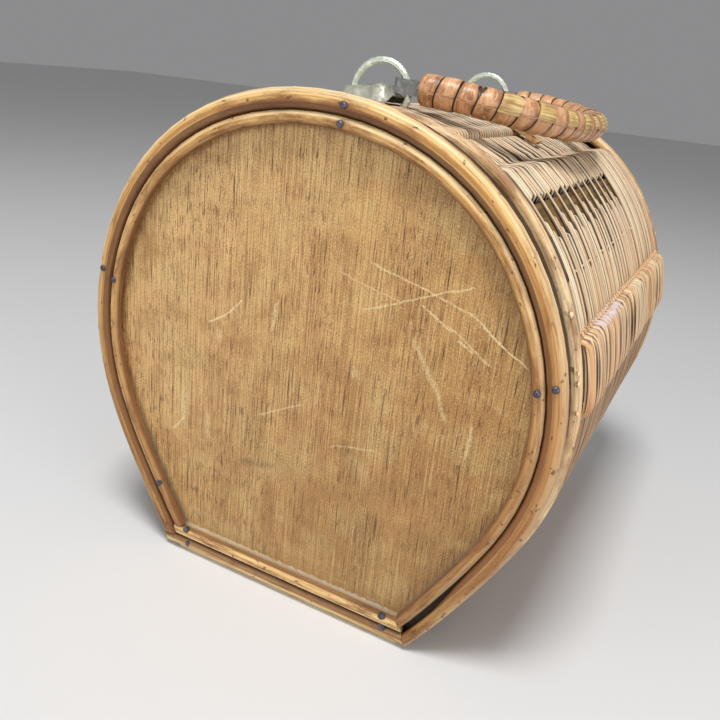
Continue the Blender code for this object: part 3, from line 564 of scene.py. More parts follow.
# Marks on the panel's face as straight runs: start, end, half width and strength
PANEL_SCRATCHES = (
    ((0.0288, 0.1743), (0.0747, 0.1615), 0.0006, 0.8), ((0.0747, 0.1615), (0.0982, 0.147), 0.0006, 0.9),
    ((0.0148, 0.1674), (0.0435, 0.1608), 0.0006, 0.5), ((0.0266, 0.1543), (0.0477, 0.1618), 0.0006, 0.8),
    ((0.0477, 0.1618), (0.0732, 0.1729), 0.0006, 0.8), ((0.0535, 0.1607), (0.0669, 0.1533), 0.0007, 0.9),
    ((-0.0516, 0.1279), (-0.0426, 0.134), 0.0007, 1.0), ((-0.0426, 0.134), (-0.0337, 0.1433), 0.0006, 1.0),
    ((-0.0143, 0.1469), (-0.0166, 0.1333), 0.0014, 0.7), ((0.0512, 0.1463), (0.0648, 0.128), 0.0018, 0.5),
    ((0.0648, 0.128), (0.0698, 0.1153), 0.0014, 0.6), ((-0.0215, 0.0899), (0.0018, 0.1023), 0.0007, 0.6),
    ((0.0784, 0.1587), (0.1007, 0.1457), 0.0006, 0.8), ((0.065, 0.1553), (0.0853, 0.1442), 0.0007, 0.7),
    ((0.0813, 0.1177), (0.0814, 0.1023), 0.0009, 0.6), ((0.0185, 0.0859), (0.0406, 0.0933), 0.0007, 0.6),
    ((-0.0739, 0.0654), (-0.065, 0.0745), 0.0008, 0.8), ((0.0699, 0.1504), (0.0774, 0.1474), 0.0007, 0.9),
    ((-0.0456, 0.1245), (-0.0456, 0.1215), 0.0024, 0.7), ((0.0265, 0.126), (0.0285, 0.1236), 0.0028, 0.7),
    ((0.031, 0.084), (0.037, 0.075), 0.0055, 0.35), ((-0.0668, 0.0894), (-0.0652, 0.07), 0.0034, 0.6),
    ((-0.0513, 0.081), (-0.0503, 0.0687), 0.0022, 0.5),
)
PANEL_STAINS = (
    ((-0.0307, 0.0616), (-0.011, 0.0673), 0.0022, 0.55), ((0.0025, 0.2213), (0.0025, 0.2209), 0.0032, 0.9),
    ((-0.0044, 0.0355), (-0.0042, 0.0355), 0.0022, 0.7),
    ((-0.0604, 0.0352), (-0.0566, 0.0358), 0.0016, 0.6), ((0.0135, 0.2243), (0.019, 0.2232), 0.0016, 0.7),
)


def plywood_material():
    """Golden plywood: upright hairlines, worn patches, pale scratches, dust along the rods and painted
    shade.
    """
    shader = Shader("plywood", 0.46)
    x, _, z = shader.place()
    _, depth, _ = shader.rim()

    def upright(across, up, offset, detail=2.0):
        return shader.grain(((x, across), (z, up), offset), detail, 0.6)

    def patches(scale, offset, detail=4.0):
        return upright(scale, scale, offset, detail)

    bands = upright(42.0, 9.0, 0.0, 4.0)
    grain = upright(1500.0, 16.0, 3.0, 3.0)
    hairs = upright(1500.0, 130.0, 4.0)
    cracks = upright(900.0, 30.0, 6.0)
    grit = patches(1500.0, 18.0, 2.0)
    mottle = patches(60.0, 9.0, 5.0)
    wear = patches(34.0, 12.0, 5.0)
    specks = patches(1100.0, 15.0, 2.0)
    small = patches(420.0, 30.0, 3.0)
    shader.begin(bands, 0.35, 0.65, (198, 150, 86), (174, 126, 68))
    shader.stain(shader.plus(shader.times(z, 0.6), shader.times(x, -1.0)), 0.0, 0.2, 0.9, (232, 190, 130))
    shader.stain(mottle, 0.48, 0.66, 0.6, (158, 112, 60))
    shader.stain(mottle, 0.46, 0.32, 0.55, (224, 190, 124))
    shader.stain(wear, 0.52, 0.64, 0.35, (216, 186, 122))
    shader.stain(grain, 0.47, 0.62, 0.6, (140, 98, 50))
    shader.stain(grain, 0.45, 0.34, 0.45, (232, 200, 138))
    shader.stain(grit, 0.5, 0.68, 0.6, (138, 98, 52))
    shader.stain(grit, 0.46, 0.3, 0.5, (236, 204, 144))
    zones = shader.remap(bands, 0.4, 0.6, 0.35, 1.0)
    shader.coat(shader.times(shader.remap(hairs, 0.575, 0.62, 0.0, 0.85), zones), (104, 66, 32))
    shader.stain(cracks, 0.635, 0.67, 0.85, (84, 52, 26))
    specks = shader.times(shader.remap(specks, 0.64, 0.7), shader.remap(wear, 0.45, 0.6))
    shader.coat(specks, (238, 212, 156))
    # Scratches and stains, a little crooked and broken
    bent_x = shader.plus(x, shader.sway(mottle, 0.006))
    bent_z = shader.plus(z, shader.sway(wear, 0.006))
    broken = shader.remap(patches(900.0, 21.0), 0.4, 0.54, 0.16, 0.8)
    for marks, tint in ((PANEL_SCRATCHES, (246, 222, 168)), (PANEL_STAINS, (74, 60, 48))):
        for start, end, width, strength in marks:
            mark = shader.line_mark(bent_x, bent_z, start, end, width)
            shader.coat(shader.times(shader.times(mark, broken), strength), tint)
    # Painted shade low on the right, a painted shadow along the rods, dust along them low down and over the
    # base rods, and the panel's dark edge
    shade = shader.times(shader.remap(z, 0.13, 0.05, 0.0, 0.25), shader.remap(x, -0.08, 0.03))
    shader.coat(shade, (120, 88, 50))
    # A painted shadow along the inside of the rods up top, and grey dust along them lower down
    edge = shader.remap(small, 0.35, 0.6, 0.35, 0.9)
    edge = shader.times(edge, shader.remap(depth, 0.0158, 0.0142))
    shader.coat(shader.times(edge, shader.remap(z, 0.05, 0.09, 0.0, 0.75)), (120, 78, 38))
    shader.coat(shader.times(edge, shader.remap(z, 0.09, 0.05)), (132, 122, 104))
    rods_top = base_sides[1][1]
    ragged = shader.plus(z, shader.sway(small, 0.0035))
    shader.stain(ragged, rods_top + 0.0011, rods_top + 0.0003, 0.9, (232, 224, 200))
    haze = shader.times(shader.remap(z, 0.03, 0.015), shader.remap(small, 0.4, 0.7, 0.1, 0.5))
    shader.coat(haze, (206, 178, 128))
    shader.coat(shader.math("LESS_THAN", depth, 0.008), (58, 38, 22))
    shader.roughness(shader.remap(mottle, 0.3, 0.7, 0.4, 0.56))
    return shader.finish(shader.plus(grain, shader.times(hairs, -0.8)), 0.0004, 0.6)


def slat_material():
    shader = Shader("slat", 0.5)
    x, y, z = shader.place()
    streaks = shader.grain(((x, 500.0), (y, 14.0), (z, 500.0)), 4.0)
    patches = shader.grain(((x, 60.0), (y, 20.0), (z, 60.0)), 3.0)
    shader.begin(streaks, 0.35, 0.65, (122, 92, 44), (78, 52, 22))
    shader.stain(patches, 0.5, 0.7, 0.7, (148, 112, 52))
    return shader.finish(streaks, 0.0004, 0.6)


def board_material():
    shader = Shader("board", 0.65)
    x, y, z = shader.place()
    grain = shader.grain(((x, 60.0), (y, 600.0), (z, 600.0)), 3.0)
    shader.begin(grain, 0.35, 0.7, (222, 205, 165), (190, 165, 120))
    return shader.finish(grain, 0.0003, 0.5)


def wrap_material():
    """Reddish flat cane that runs round the handle. U runs round it and V along it."""
    shader = Shader("handle_wrap_cane", 0.36)
    round_run, along = shader.map_place()
    island = shader.island()
    shift = shader.times(island, 23.0)
    streaks = shader.grain(((round_run, 60.0), (along, 1100.0), shift), 3.0, 0.6)
    stains = shader.grain(((round_run, 110.0), (along, 160.0), shift), 4.0, 0.65)
    flecks = shader.grain(((round_run, 300.0), (along, 700.0), shift))
    shader.begin(streaks, 0.35, 0.65, (224, 174, 128), (170, 108, 66))
    shader.stain(island, 0.2, 1.0, 0.6, (226, 178, 132))
    shader.stain(stains, 0.45, 0.66, 0.8, (116, 66, 38))
    shader.stain(flecks, 0.6, 0.7, 0.6, (236, 190, 150))
    # Painted shade from the tone attribute, between the turns and on the underwrap
    shader.coat(shader.tone(), (42, 22, 12))
    shader.roughness(shader.remap(stains, 0.3, 0.7, 0.24, 0.45))
    return shader.finish(shader.plus(streaks, stains), 0.0005, 0.6)


def straw_material():
    shader = Shader("handle_straw", 0.45)
    round_run, along = shader.map_place()
    shift = shader.times(shader.island(), 23.0)
    streaks = shader.grain(((round_run, 1200.0), (along, 60.0), shift), 3.0, 0.6)
    stains = shader.grain(((round_run, 160.0), (along, 120.0), shift), 3.0)
    shader.begin(streaks, 0.4, 0.6, (216, 188, 128), (168, 134, 78))
    shader.stain(stains, 0.48, 0.7, 0.7, (140, 96, 54))
    return shader.finish(streaks, 0.0004, 0.6)


def metal_material(name, pale, mid, rust, roughness, metallic, relief=0.35):
    shader = Shader(name, roughness, metallic)
    where = shader.where()
    blotches = shader.noise(where, 420.0, 4.0, 0.65)
    fine = shader.noise(where, 1700.0, 2.0)
    shader.begin(blotches, 0.35, 0.65, pale, mid)
    shader.stain(fine, 0.58, 0.72, 0.7, rust)
    shader.roughness(shader.remap(blotches, 0.3, 0.7, roughness - 0.1, roughness + 0.15))
    return shader.finish(shader.plus(blotches, shader.times(fine, 0.3)), 0.0003, relief)


wicker = wicker_material()
rim_cane = cane_material(
    "rim_cane", Shader.rim, (226, 182, 114), (186, 134, 70), (132, 82, 38), rod_sides, 0.6, low_shade_dark_right=True,
)
hoop_cane = cane_material("hoop_cane", Shader.rim, (240, 212, 168), (206, 166, 116), (142, 98, 58))
rail_cane = cane_material("rail_cane", lines_along_y, (214, 176, 118), (188, 142, 84), (130, 84, 42))
base_cane = cane_material(
    "base_cane", lines_along_x, (232, 194, 130), (190, 142, 80), (116, 70, 32), base_sides, 0.15,
)
plywood = plywood_material()
slat = slat_material()
board = board_material()
wrap_cane = wrap_material()
straw = straw_material()
nail_steel = metal_material("nail_steel", (112, 110, 120), (72, 70, 76), (60, 44, 36), 0.45, 0.8)
strap_steel = metal_material("strap_steel", (150, 152, 152), (112, 116, 116), (112, 108, 94), 0.42, 0.6)
sheet_steel = metal_material("sheet_steel", (192, 190, 174), (140, 140, 128), (124, 128, 98), 0.46, 0.55)
ring_steel = metal_material(
    "ring_steel", (226, 234, 220), (200, 208, 192), (186, 186, 160), 0.34, 0.55, 0.08,
)

CAD_MATERIALS = (
    ("rim_rod", rim_cane), ("frame_hoop", hoop_cane), ("base_rod", base_cane), ("end_panel", plywood),
    ("nail", nail_steel), ("base_board", board), ("rail", rail_cane), ("slat", slat), ("batten", slat),
    ("lid_right_rod", rail_cane), ("lid_left_rod", rail_cane), ("stick", base_cane),
    ("hinge_loop", rail_cane), ("closure", rail_cane), ("ring_strap", strap_steel),
    ("handle_loop", strap_steel), ("_ring", ring_steel), ("handle_core", rail_cane), ("weave", wicker),
    ("handle_wrap", wrap_cane),
)
for name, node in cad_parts.items():
    for part, material in CAD_MATERIALS:
        if part in name:
            node.data.materials.clear()
            node.data.materials.append(material)
            break


# Woven sides

rail_centre = middle_of("right_opening_rail")
rail_radius = size_of("right_opening_rail").x / 2
hinge_places = [middle_of(word + "_hinge_loop").y for word in ("front", "middle", "back")]
hinge_half_width = size_of("front_hinge_loop").y / 2
upper_slat_end = UPPER_SLAT_DEG + SLAT_HALF_DEG
lower_slat_start = LOWER_SLAT_DEG - LOWER_SLAT_HALF_DEG
lower_slat_end = LOWER_SLAT_DEG + LOWER_SLAT_HALF_DEG
# Stretches of the profile where the strands need finer steps
DENSE_DEGS = (
    (lower_slat_start - 2, lower_slat_start + 1), (lower_slat_end - 1, lower_slat_end + 2),
    (SLIT_END_DEG - 1, SLIT_END_DEG + 2.5), (WINDOW_TIP_DEGS[-1] - 2, WINDOW_TIP_DEGS[1] + 1),
    (upper_slat_end - 0.5, upper_slat_end + 2.5), (RIDGE_DEG - 1, SHELF_DEG + 1),
)
# Where strands lie on the opening's rods and the lid's, in degrees from +X towards +Z. The left side
# is made as on the right and mirrored.
RIGHT_RAIL_DEGS = (62, 140)
LEFT_RAIL_DEGS = (62, 78)
LID_RIGHT_DEGS = (-20, 88)
LID_LEFT_DEGS = (92, 108)
# How much of the way to the left opening rod the strands go beside a hinge loop
HINGE_REACH = 0.66
# How far the strands go down at the band's seams
UPPER_SEAM_DEPTH = 0.0036
LOWER_SEAM_DEPTH = 0.0028
BAND_SEAM_DEPTH = 0.0034


def near_hinge(y):
    return any(abs(y - place) < hinge_half_width + STRAND_WIDTH * 2 / 3 for place in hinge_places)


def strand_plan(k, middle, rng):
    """A function that gives side strand k's station at an angle of the profile."""
    role = k % 4 if middle < WINDOWS_END_Y else 0
    lower_role = k % 4
    seed = k * 7.31
    top_out = upper_slat_end + rng.uniform(0.8, 1.7)
    tip = WINDOW_TIP_DEGS[role] + rng.uniform(-0.35, 0.35)
    full = pitch * rng.uniform(0.93, 1.0)
    proud = rng.uniform(0.0, 0.00045)
    slit = middle < WINDOWS_END_Y + 2 * pitch and rng.random() < 0.85
    slit_end = SLIT_END_DEG + rng.uniform(-0.4, 0.4)
    if rng.random() < 0.1:
        slit_end = SEAM_TOP_DEG + rng.uniform(0, 3)
    spread = rng.uniform(-0.0007, 0.0007)
    relief = rng.uniform(0.0, 0.0012)
    upper_width = rng.uniform(0.3, 0.75)
    line_cut = rng.uniform(0.25, 0.6) if k % 4 == 0 else rng.choice((0.0, 0.0, 0.0, 0.12, 0.3))

    def slit_open(at):
        return ease(at, slit_end, slit_end + 1.2) * ease(at, 48.5, 44.5) if slit else 0.0

    def past_slat_sides(at):
        """How far an angle is past each side of the lower slat, 0 to 1."""
        start = ease(at, lower_slat_start - 2, lower_slat_start)
        return start, ease(at, lower_slat_end + 2, lower_slat_end)

    def depth(at):
        result = proud + 0.0002 * (1 + ripple(at * 0.07, seed, 0.5))
        if role:
            under = min(ease(at, tip - 0.8, tip + 0.5), ease(at, top_out, upper_slat_end))
            result += UNDER_SLAT_DEPTH * under
        if lower_role != 2:
            result += UNDER_SLAT_DEPTH * min(past_slat_sides(at))
        if at > SEAM_LOW_DEG + 8:
            result += UPPER_SEAM_DEPTH * ease(at, SEAM_TOP_DEG + 1.3, SEAM_TOP_DEG - 0.3)
        else:
            result += LOWER_SEAM_DEPTH * ease(at, SEAM_LOW_DEG - 0.9, SEAM_LOW_DEG + 0.3)
        return result + relief * ease(at, RIDGE_DEG - 4, SHELF_DEG)

    def across(at):
        result = middle + 0.0002 * ripple(at * 0.05, seed, 3.5)
        result += slit_open(at) * (0.00035 if role == 0 else -0.00012 * role)
        return result + spread * ease(at, RIDGE_DEG, SHELF_DEG)

    def width(at):
        result = full
        if role:
            result -= 0.0002 * role * slit_open(at)
            result *= 1 - 0.7 * ease(at, tip - 1.7, tip - 0.2) * ease(at, top_out, upper_slat_end)
        elif middle < WINDOWS_END_Y:
            narrow = ease(at, slit_end, WINDOW_TIP_DEGS[-1])
            result += (OVER_WIDTH - full) * narrow * ease(at, top_out + 1.5, upper_slat_end)
        if lower_role == 3:
            result -= 0.0003 + 0.0003 * ripple(at * 0.11, seed, 12.5)
        if lower_role == 2:
            start, end = past_slat_sides(at)
            result -= 0.0006 * start * end
        open_gap = (1 - upper_width) * (0.6 + 0.8 * ripple(at * 0.16, seed, 21.5))
        return result * (1 - max(0, open_gap) * ease(at, RIDGE_DEG - 2.5, RIDGE_DEG + 1))

    def tone(at):
        # Random darkening, plus painted shade where the strand runs under the upper slat and down into the
        # upper seam
        result = 0.2 * max(0, ripple(at * 0.03, seed, 9.5))
        if role and at > tip:
            result += 0.5 * ease(at, top_out + 0.2, upper_slat_end)
        result += 0.4 * ease(at, SEAM_TOP_DEG + 1.0, SEAM_TOP_DEG)
        return min(1, result)

    def cut(at):
        # The cut also deepens the painted shade on the strand's front side, at slits and near the ridge
        result = line_cut * (0.7 + 0.8 * ripple(at * 0.08, seed, 30.5))
        if slit and k % 4 == 0:
            notch = ease(at, slit_end, slit_end + 0.5) * ease(at, slit_end + 2.4, slit_end + 1.7)
            result = max(result, 0.85 * slit_open(at), notch)
        if at > SEAM_TOP_DEG + 15:
            result *= ease(at, 47, 44.5) if role else ease(at, 44.5, 43)
        if at > RIDGE_DEG - 4:
            torn = max(0, ripple(at * 0.3, seed, 33.5) + 0.25)
            result += 0.7 * ease(at, RIDGE_DEG - 3, RIDGE_DEG) * torn
        return min(1, max(0, result))

    def station(at):
        spot = rim_point(at, weave_offset(at) - depth(at))
        spot.y = across(at)
        return spot, width(at), tone(at), cut(at)

    return station


def onto_rail(last, middle, hand):
    """Stations that take a side strand from its last one onto the opening's rod."""
    spot, *look = last
    wrap_radius = rail_radius + STRAND_THICKNESS + 0.0001
    ends = round_rod(rail_centre, wrap_radius, *(RIGHT_RAIL_DEGS if hand > 0 else LEFT_RAIL_DEGS), 4)
    if hand < 0 and near_hinge(middle):
        ends = [spot.lerp(Vector((ends[0].x, spot.y, ends[0].z)), HINGE_REACH)]
    return [(Vector((end.x, spot.y, end.z)), *look) for end in ends]


def add_side_strands(solid, hand, rng):
    under_band = steps_between(SIDE_START_DEG, SEAM_LOW_DEG + 0.5, 1.9, DENSE_DEGS, 0.7)
    over_band = steps_between(SEAM_TOP_DEG - 0.5, SHELF_DEG + 1.2, 1.7, DENSE_DEGS, 0.42)
    for k in range(SIDE_STRANDS):
        middle = -inside_end + pitch * (k + 1 / 2)
        station = strand_plan(k, middle, rng)
        lower = [station(at) for at in under_band]
        upper = [station(at) for at in over_band]
        upper += onto_rail(upper[-1], middle, hand)
        for stations in (lower, upper):
            add_strand(solid, stations, STRAND_THICKNESS, hand, k * 0.37)


# Wide gaps between neighbouring strands of the band, by the number of the strand before them
BAND_GAPS = {
    -1: 0.0006, 0: 0.0015, 1: 0.0017, 2: 0.0014, 5: 0.0009, 8: 0.001, 12: 0.0008, 17: 0.0009, 21: 0.001,
    25: 0.0014, 26: 0.0024, 27: 0.0008, 29: 0.0024, 33: 0.0008, 38: 0.0012, 44: 0.0009, 49: 0.0014,
    55: 0.001,
}
# Strands seen inside the band's open ends: share of its bulge, and how far they lie in
INNER_BAND_STRANDS = ((0.5, 0.0), (0.12, 0.0006), (-0.3, 0.001))


def band_depth(at, top_deg):
    """How far a band strand's two ends go down at the seams."""
    top = ease(at, top_deg - 1.0, top_deg + 0.5)
    return BAND_SEAM_DEPTH * max(top, ease(at, SEAM_LOW_DEG + 1.0, SEAM_LOW_DEG - 0.4))


def band_opening(at):
    """How far the band's strands may part, from 0.25 at the seams to 1 between them."""
    reach = (at - BAND_CENTRE_DEG) / BAND_HALF_WIDTH_DEG
    return 0.25 + 0.75 * max(0.0, cos(pi / 2 * min(1, abs(reach)))) ** 1.2


def add_band_strands(solid, hand, rng):
    angles = steps_between(SEAM_LOW_DEG - 0.4, SEAM_TOP_DEG + 0.5, 1.0)
    gaps = [BAND_GAPS.get(k, rng.uniform(0.0002, 0.0007)) for k in range(-1, SIDE_STRANDS)]
    for k in range(SIDE_STRANDS):
        middle = -inside_end + pitch * (k + 1 / 2)
        seed = k * 3.17
        lift = rng.uniform(0, 0.0012)
        top_deg = SEAM_TOP_DEG + rng.uniform(-0.5, 0.3)
        before, after = gaps[k], gaps[k + 1]
        bare = k in (0, SIDE_STRANDS - 1)
        stations = []
        for at in angles:
            opening = band_opening(at)
            spot = rim_point(at, weave_offset(at) - band_depth(at, top_deg) - lift * opening)
            sway = 0.0002 * ripple(at * 0.2, seed, 1.5)
            spot.y = middle + opening * (before - after) / 4 + sway
            width = max(0.0011, pitch - opening * (before + after) / 2)
            tone = 0.12 * ease(at, 15, 10) + 0.2 * max(0, ripple(at * 0.05, seed, 4.5))
            cut = 0.0 if bare else min(1, max(0, before - 0.00035) / 0.0009) * opening ** 2
            stations.append((spot, width, tone, cut))
        add_strand(solid, stations, STRAND_THICKNESS * 1.7, hand, k * 0.59 + 3, bare)
    for side in (-1, 1):
        for bow, lean in INNER_BAND_STRANDS:
            stations = []
            for at in angles:
                flat = WEAVE_STANDOUT - band_depth(at, SEAM_TOP_DEG)
                spot = rim_point(at, flat + (weave_offset(at) - WEAVE_STANDOUT) * bow)
                spot.y = side * (inside_end - 0.0009 - lean)
                stations.append((spot, 0.0016, 0.1, 0.0))
            add_strand(solid, stations, STRAND_THICKNESS, hand, 40 + bow, True)


def add_lining(solid, angles, count, offset_at, hand, end):
    """Strands edge to edge on the inner face, darkened as painted shade."""
    width = 2 * end / count
    line = [rim_point(at, offset_at(at)) for at in angles]
    for k in range(count):
        y = -end + width * (k + 1 / 2)
        stations = [(Vector((p.x, y, p.z)), width * 1.01, 0.9, 0.0) for p in line]
        add_strand(solid, stations, LINING_THICKNESS, hand, k * 0.43 + 9)


def add_cord(solid, at, depth, radius, hand, start, end, beads=0):
    """A cord along the basket at an angle, with beads where it is bound and painted shade between the
    beads.
    """
    centre = rim_point(at, weave_offset(at) - depth)
    steps = max(1, beads * 4)
    rings = []
    for i in range(steps + 1):
        y = start + (end - start) * i / steps
        wave = cos(2 * pi * beads * i / steps) if beads else 0.0
        swell = radius * (1 + 0.35 * wave)
        spots = [(hand * (centre.x + swell * c), y, centre.z + swell * s) for c, s in circle(6)]
        places = [(y, radius * 2 * pi * j / 6) for j in range(6)]
        rings.append(solid.ring(spots, 0.9 * max(0.0, -wave), places))
    solid.tube(rings, hand > 0)


def lining_offset(at):
    """The lining runs under the slats and, in the band, just over the side rail."""
    inside_band = ease(at, SEAM_TOP_DEG, SEAM_TOP_DEG - 2) * ease(at, SEAM_LOW_DEG, SEAM_LOW_DEG + 2)
    return min(weave_offset(at), WEAVE_STANDOUT + RIDGE_RISE) - LINING_DEPTH + 0.004 * inside_band


def make_side(word, hand, seed):
    rng = random.Random(seed)
    strands = Solid()
    add_side_strands(strands, hand, rng)
    weave = strands.piece(word + "_side_strands", wicker, "basket")
    band = Solid()
    add_band_strands(band, hand, rng)
    band.piece(word + "_band_strands", wicker, "basket")
    lining = Solid()
    angles = steps_between(SIDE_START_DEG + 1.5, SHELF_DEG + 2.5, 2.5)
    add_lining(lining, angles, SIDE_STRANDS, lining_offset, hand, inside_end)
    lining.piece(word + "_side_lining", wicker, "basket")
    cords = Solid()
    add_cord(cords, SEAM_LOW_DEG, 0.0009, 0.0005, hand, -inside_end, inside_end)
    add_cord(cords, SEAM_TOP_DEG + 0.1, 0.0016, 0.0012, hand, -inside_end, inside_end, 43)
    for k in range(4, SIDE_STRANDS - 18, 4):
        front = -inside_end + pitch * k
        start, end = front - 0.0002, front + 0.0019
        add_cord(cords, DASH_STICK_DEG + 0.2, 0.0006, DASH_STICK_RADIUS, hand, start, end)
    cords.piece(word + "_side_cords", wicker, "basket")
    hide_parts(word + "_side_weave")


make_side("right", 1, 11)
make_side("left", -1, 23)


# Lid

STAKE_DEGS = (74.5, 79.5, 84.0, 96.0, 100.5, 105.5)
STAKE_RADIUS = 0.0011


def make_lid():
    rng = random.Random(5)
    weave_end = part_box("lid_weave")[1].y
    rod_centre = middle_of("lid_right_rod")
    rod_radius = size_of("lid_right_rod").x / 2
    edge_at = degrees(atan2(rod_centre.z - RIM_CENTRE_HEIGHT, rod_centre.x))
    rod_reach = (rod_centre.xz - Vector((0, RIM_CENTRE_HEIGHT))).length
    skin_at = edge_at + degrees((rod_radius + 0.0006) / rod_reach)
    count = round(2 * weave_end / pitch)
    width = 2 * weave_end / count
    ring_y = abs(middle_of("front_ring").y)
    ring_reach = size_of("front_ring").x / 2 + 0.001
    ring_half = size_of("front_ring").y / 2 + 0.0004
    tab_half = size_of("closure_loop").y / 2
    angles = steps_between(skin_at, 180 - skin_at, 1.5)
    wrap_radius = rod_radius + STRAND_THICKNESS * 0.8
    left_centre = Vector((-rod_centre.x, 0, rod_centre.z))
    strands = Solid()
    for k in range(count):
        middle = -weave_end + width * (k + 1 / 2)
        seed = k * 5.3
        full = width * rng.uniform(0.74, 0.94)
        shade = rng.uniform(0, 0.3)
        stations = []
        for at in angles:
            spot = rim_point(at, -LID_DROP - 0.0001)
            weave = 0.5 + 0.5 * cos(pi * ((at - 90) / 5.5 + k % 2))
            spot -= rim_normal(radians(at)) * (0.00045 * weave)
            spot.y = middle + 0.0004 * ripple(at * 0.05, seed, 0.5)
            # The strands beside a ring's slot go round it
            aside = 0.0
            for side in (-1, 1):
                gap = spot.y - side * ring_y
                if abs(spot.x) < ring_reach and abs(gap) < ring_half + full / 2:
                    aside = (ring_half + full / 2 - abs(gap)) * (1 if gap > 0 else -1)
            spot.y += aside
            stations.append((spot, full, shade + 0.25 * max(0, ripple(at * 0.04, seed, 7.5)), 0.0))
        if abs(middle) > tab_half + full:
            head = round_rod(rod_centre, wrap_radius, *LID_RIGHT_DEGS, 5)
            stations = [(Vector((p.x, middle, p.z)), full, shade, 0.0) for p in head] + stations[1:]
        if not near_hinge(middle):
            foot = round_rod(left_centre, wrap_radius, *LID_LEFT_DEGS, 2)
            stations = stations[:-1] + [(Vector((p.x, middle, p.z)), full, shade, 0.0) for p in foot]
        add_strand(strands, stations, STRAND_THICKNESS, 1, k * 0.31 + 20)
    lid = strands.piece("lid_strands", wicker, "lid")
    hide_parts("lid_weave")
    lining = Solid()
    add_lining(lining, angles, count, lambda at: -LID_DROP - 0.0041, 1, weave_end)
    lining.piece("lid_lining", wicker, "lid")
    stakes = Solid()
    for at in STAKE_DEGS:
        centre = rim_point(at, -LID_DROP - 0.0022)
        rings = []
        for y in (-weave_end, weave_end):
            spots = round_rod(Vector((centre.x, y, centre.z)), STAKE_RADIUS, 0, 315, 7)
            rings.append(stakes.ring(spots, 0.3, [(y, j * 0.0008) for j in range(8)]))
        stakes.tube(rings, True)
    stakes.piece("lid_stakes", wicker, "lid")


make_lid()


# Handle

ring_centre_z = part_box("front_ring")[1].z - size_of("front_ring").x / 2
ring_spacing_half = abs(middle_of("front_ring").y)
slope = radians(HANDLE_SLOPE_DEG)
lengthwise = Vector((cos(slope), 0, -sin(slope)))
plane_up = Vector((sin(slope), 0, cos(slope)))
bow_start = Vector((HANDLE_START_X, 0, ring_centre_z + HANDLE_START_RISE))


def bow_line(steps):
    reach = (HANDLE_REACH_X - HANDLE_START_X) / cos(slope)
    points = []
    for i in range(steps + 1):
        turn = pi * i / steps
        out = reach * max(0.0, sin(turn)) ** (2 / HANDLE_SQUARENESS)
        side = abs(cos(turn)) ** (2 / HANDLE_SQUARENESS) * (-1 if cos(turn) > 0 else 1)
        sag = HANDLE_SAG * (out / reach) ** 2 + HANDLE_BACK_DROP * (side + 1) / 2
        points.append(bow_start + lengthwise * out + Vector((0, ring_spacing_half * side, -sag)))
    return points


BOW_STEPS = 900
# Steps before and after a place that give the bow's direction there
BOW_REACH = 12
bow = bow_line(BOW_STEPS)
bow_runs = [0.0]
for before, after in zip(bow, bow[1:]):
    bow_runs.append(bow_runs[-1] + (after - before).length)
bow_length = bow_runs[-1]


def bow_frame(run):
    """Place, direction outwards and direction up of the bow after a run along it."""
    run = min(max(run, 0.0), bow_length)
    last = len(bow_runs) - 1
    high = min(bisect_right(bow_runs, run), last)
    low = high - 1
    share = (run - bow_runs[low]) / (bow_runs[high] - bow_runs[low])
    spot = bow[low].lerp(bow[high], share)
    ahead = (bow[min(low + BOW_REACH, last)] - bow[max(low - BOW_REACH, 0)]).normalized()
    outward = ahead.cross(plane_up).normalized()
    return spot, outward, outward.cross(ahead).normalized()


def on_bow(run, turn_deg, radius):
    spot, outward, up = bow_frame(run)
    turn = radians(turn_deg)
    return spot + radius * (cos(turn) * outward + sin(turn) * up)


STRAW_LOW_DEG = -4
STRAW_HIGH_DEG = 62
# A turn of the wrap: share of its width, level of its face, and the painted shade on it
WRAP_SECTION = (
    (0.0, -0.0009, 0.9), (0.01, -0.0002, 0.8), (0.07, 0.0, 0.15), (0.5, 0.0001, 0.0),
    (0.93, 0.0, 0.15), (0.99, -0.0002, 0.8), (1.0, -0.0009, 0.9),
)
WRAP_POINTS = 28
UNDERWRAP_STEPS = 80
STRAW_TURN_STEPS = 8
STRAW_RUN_STEPS = 4


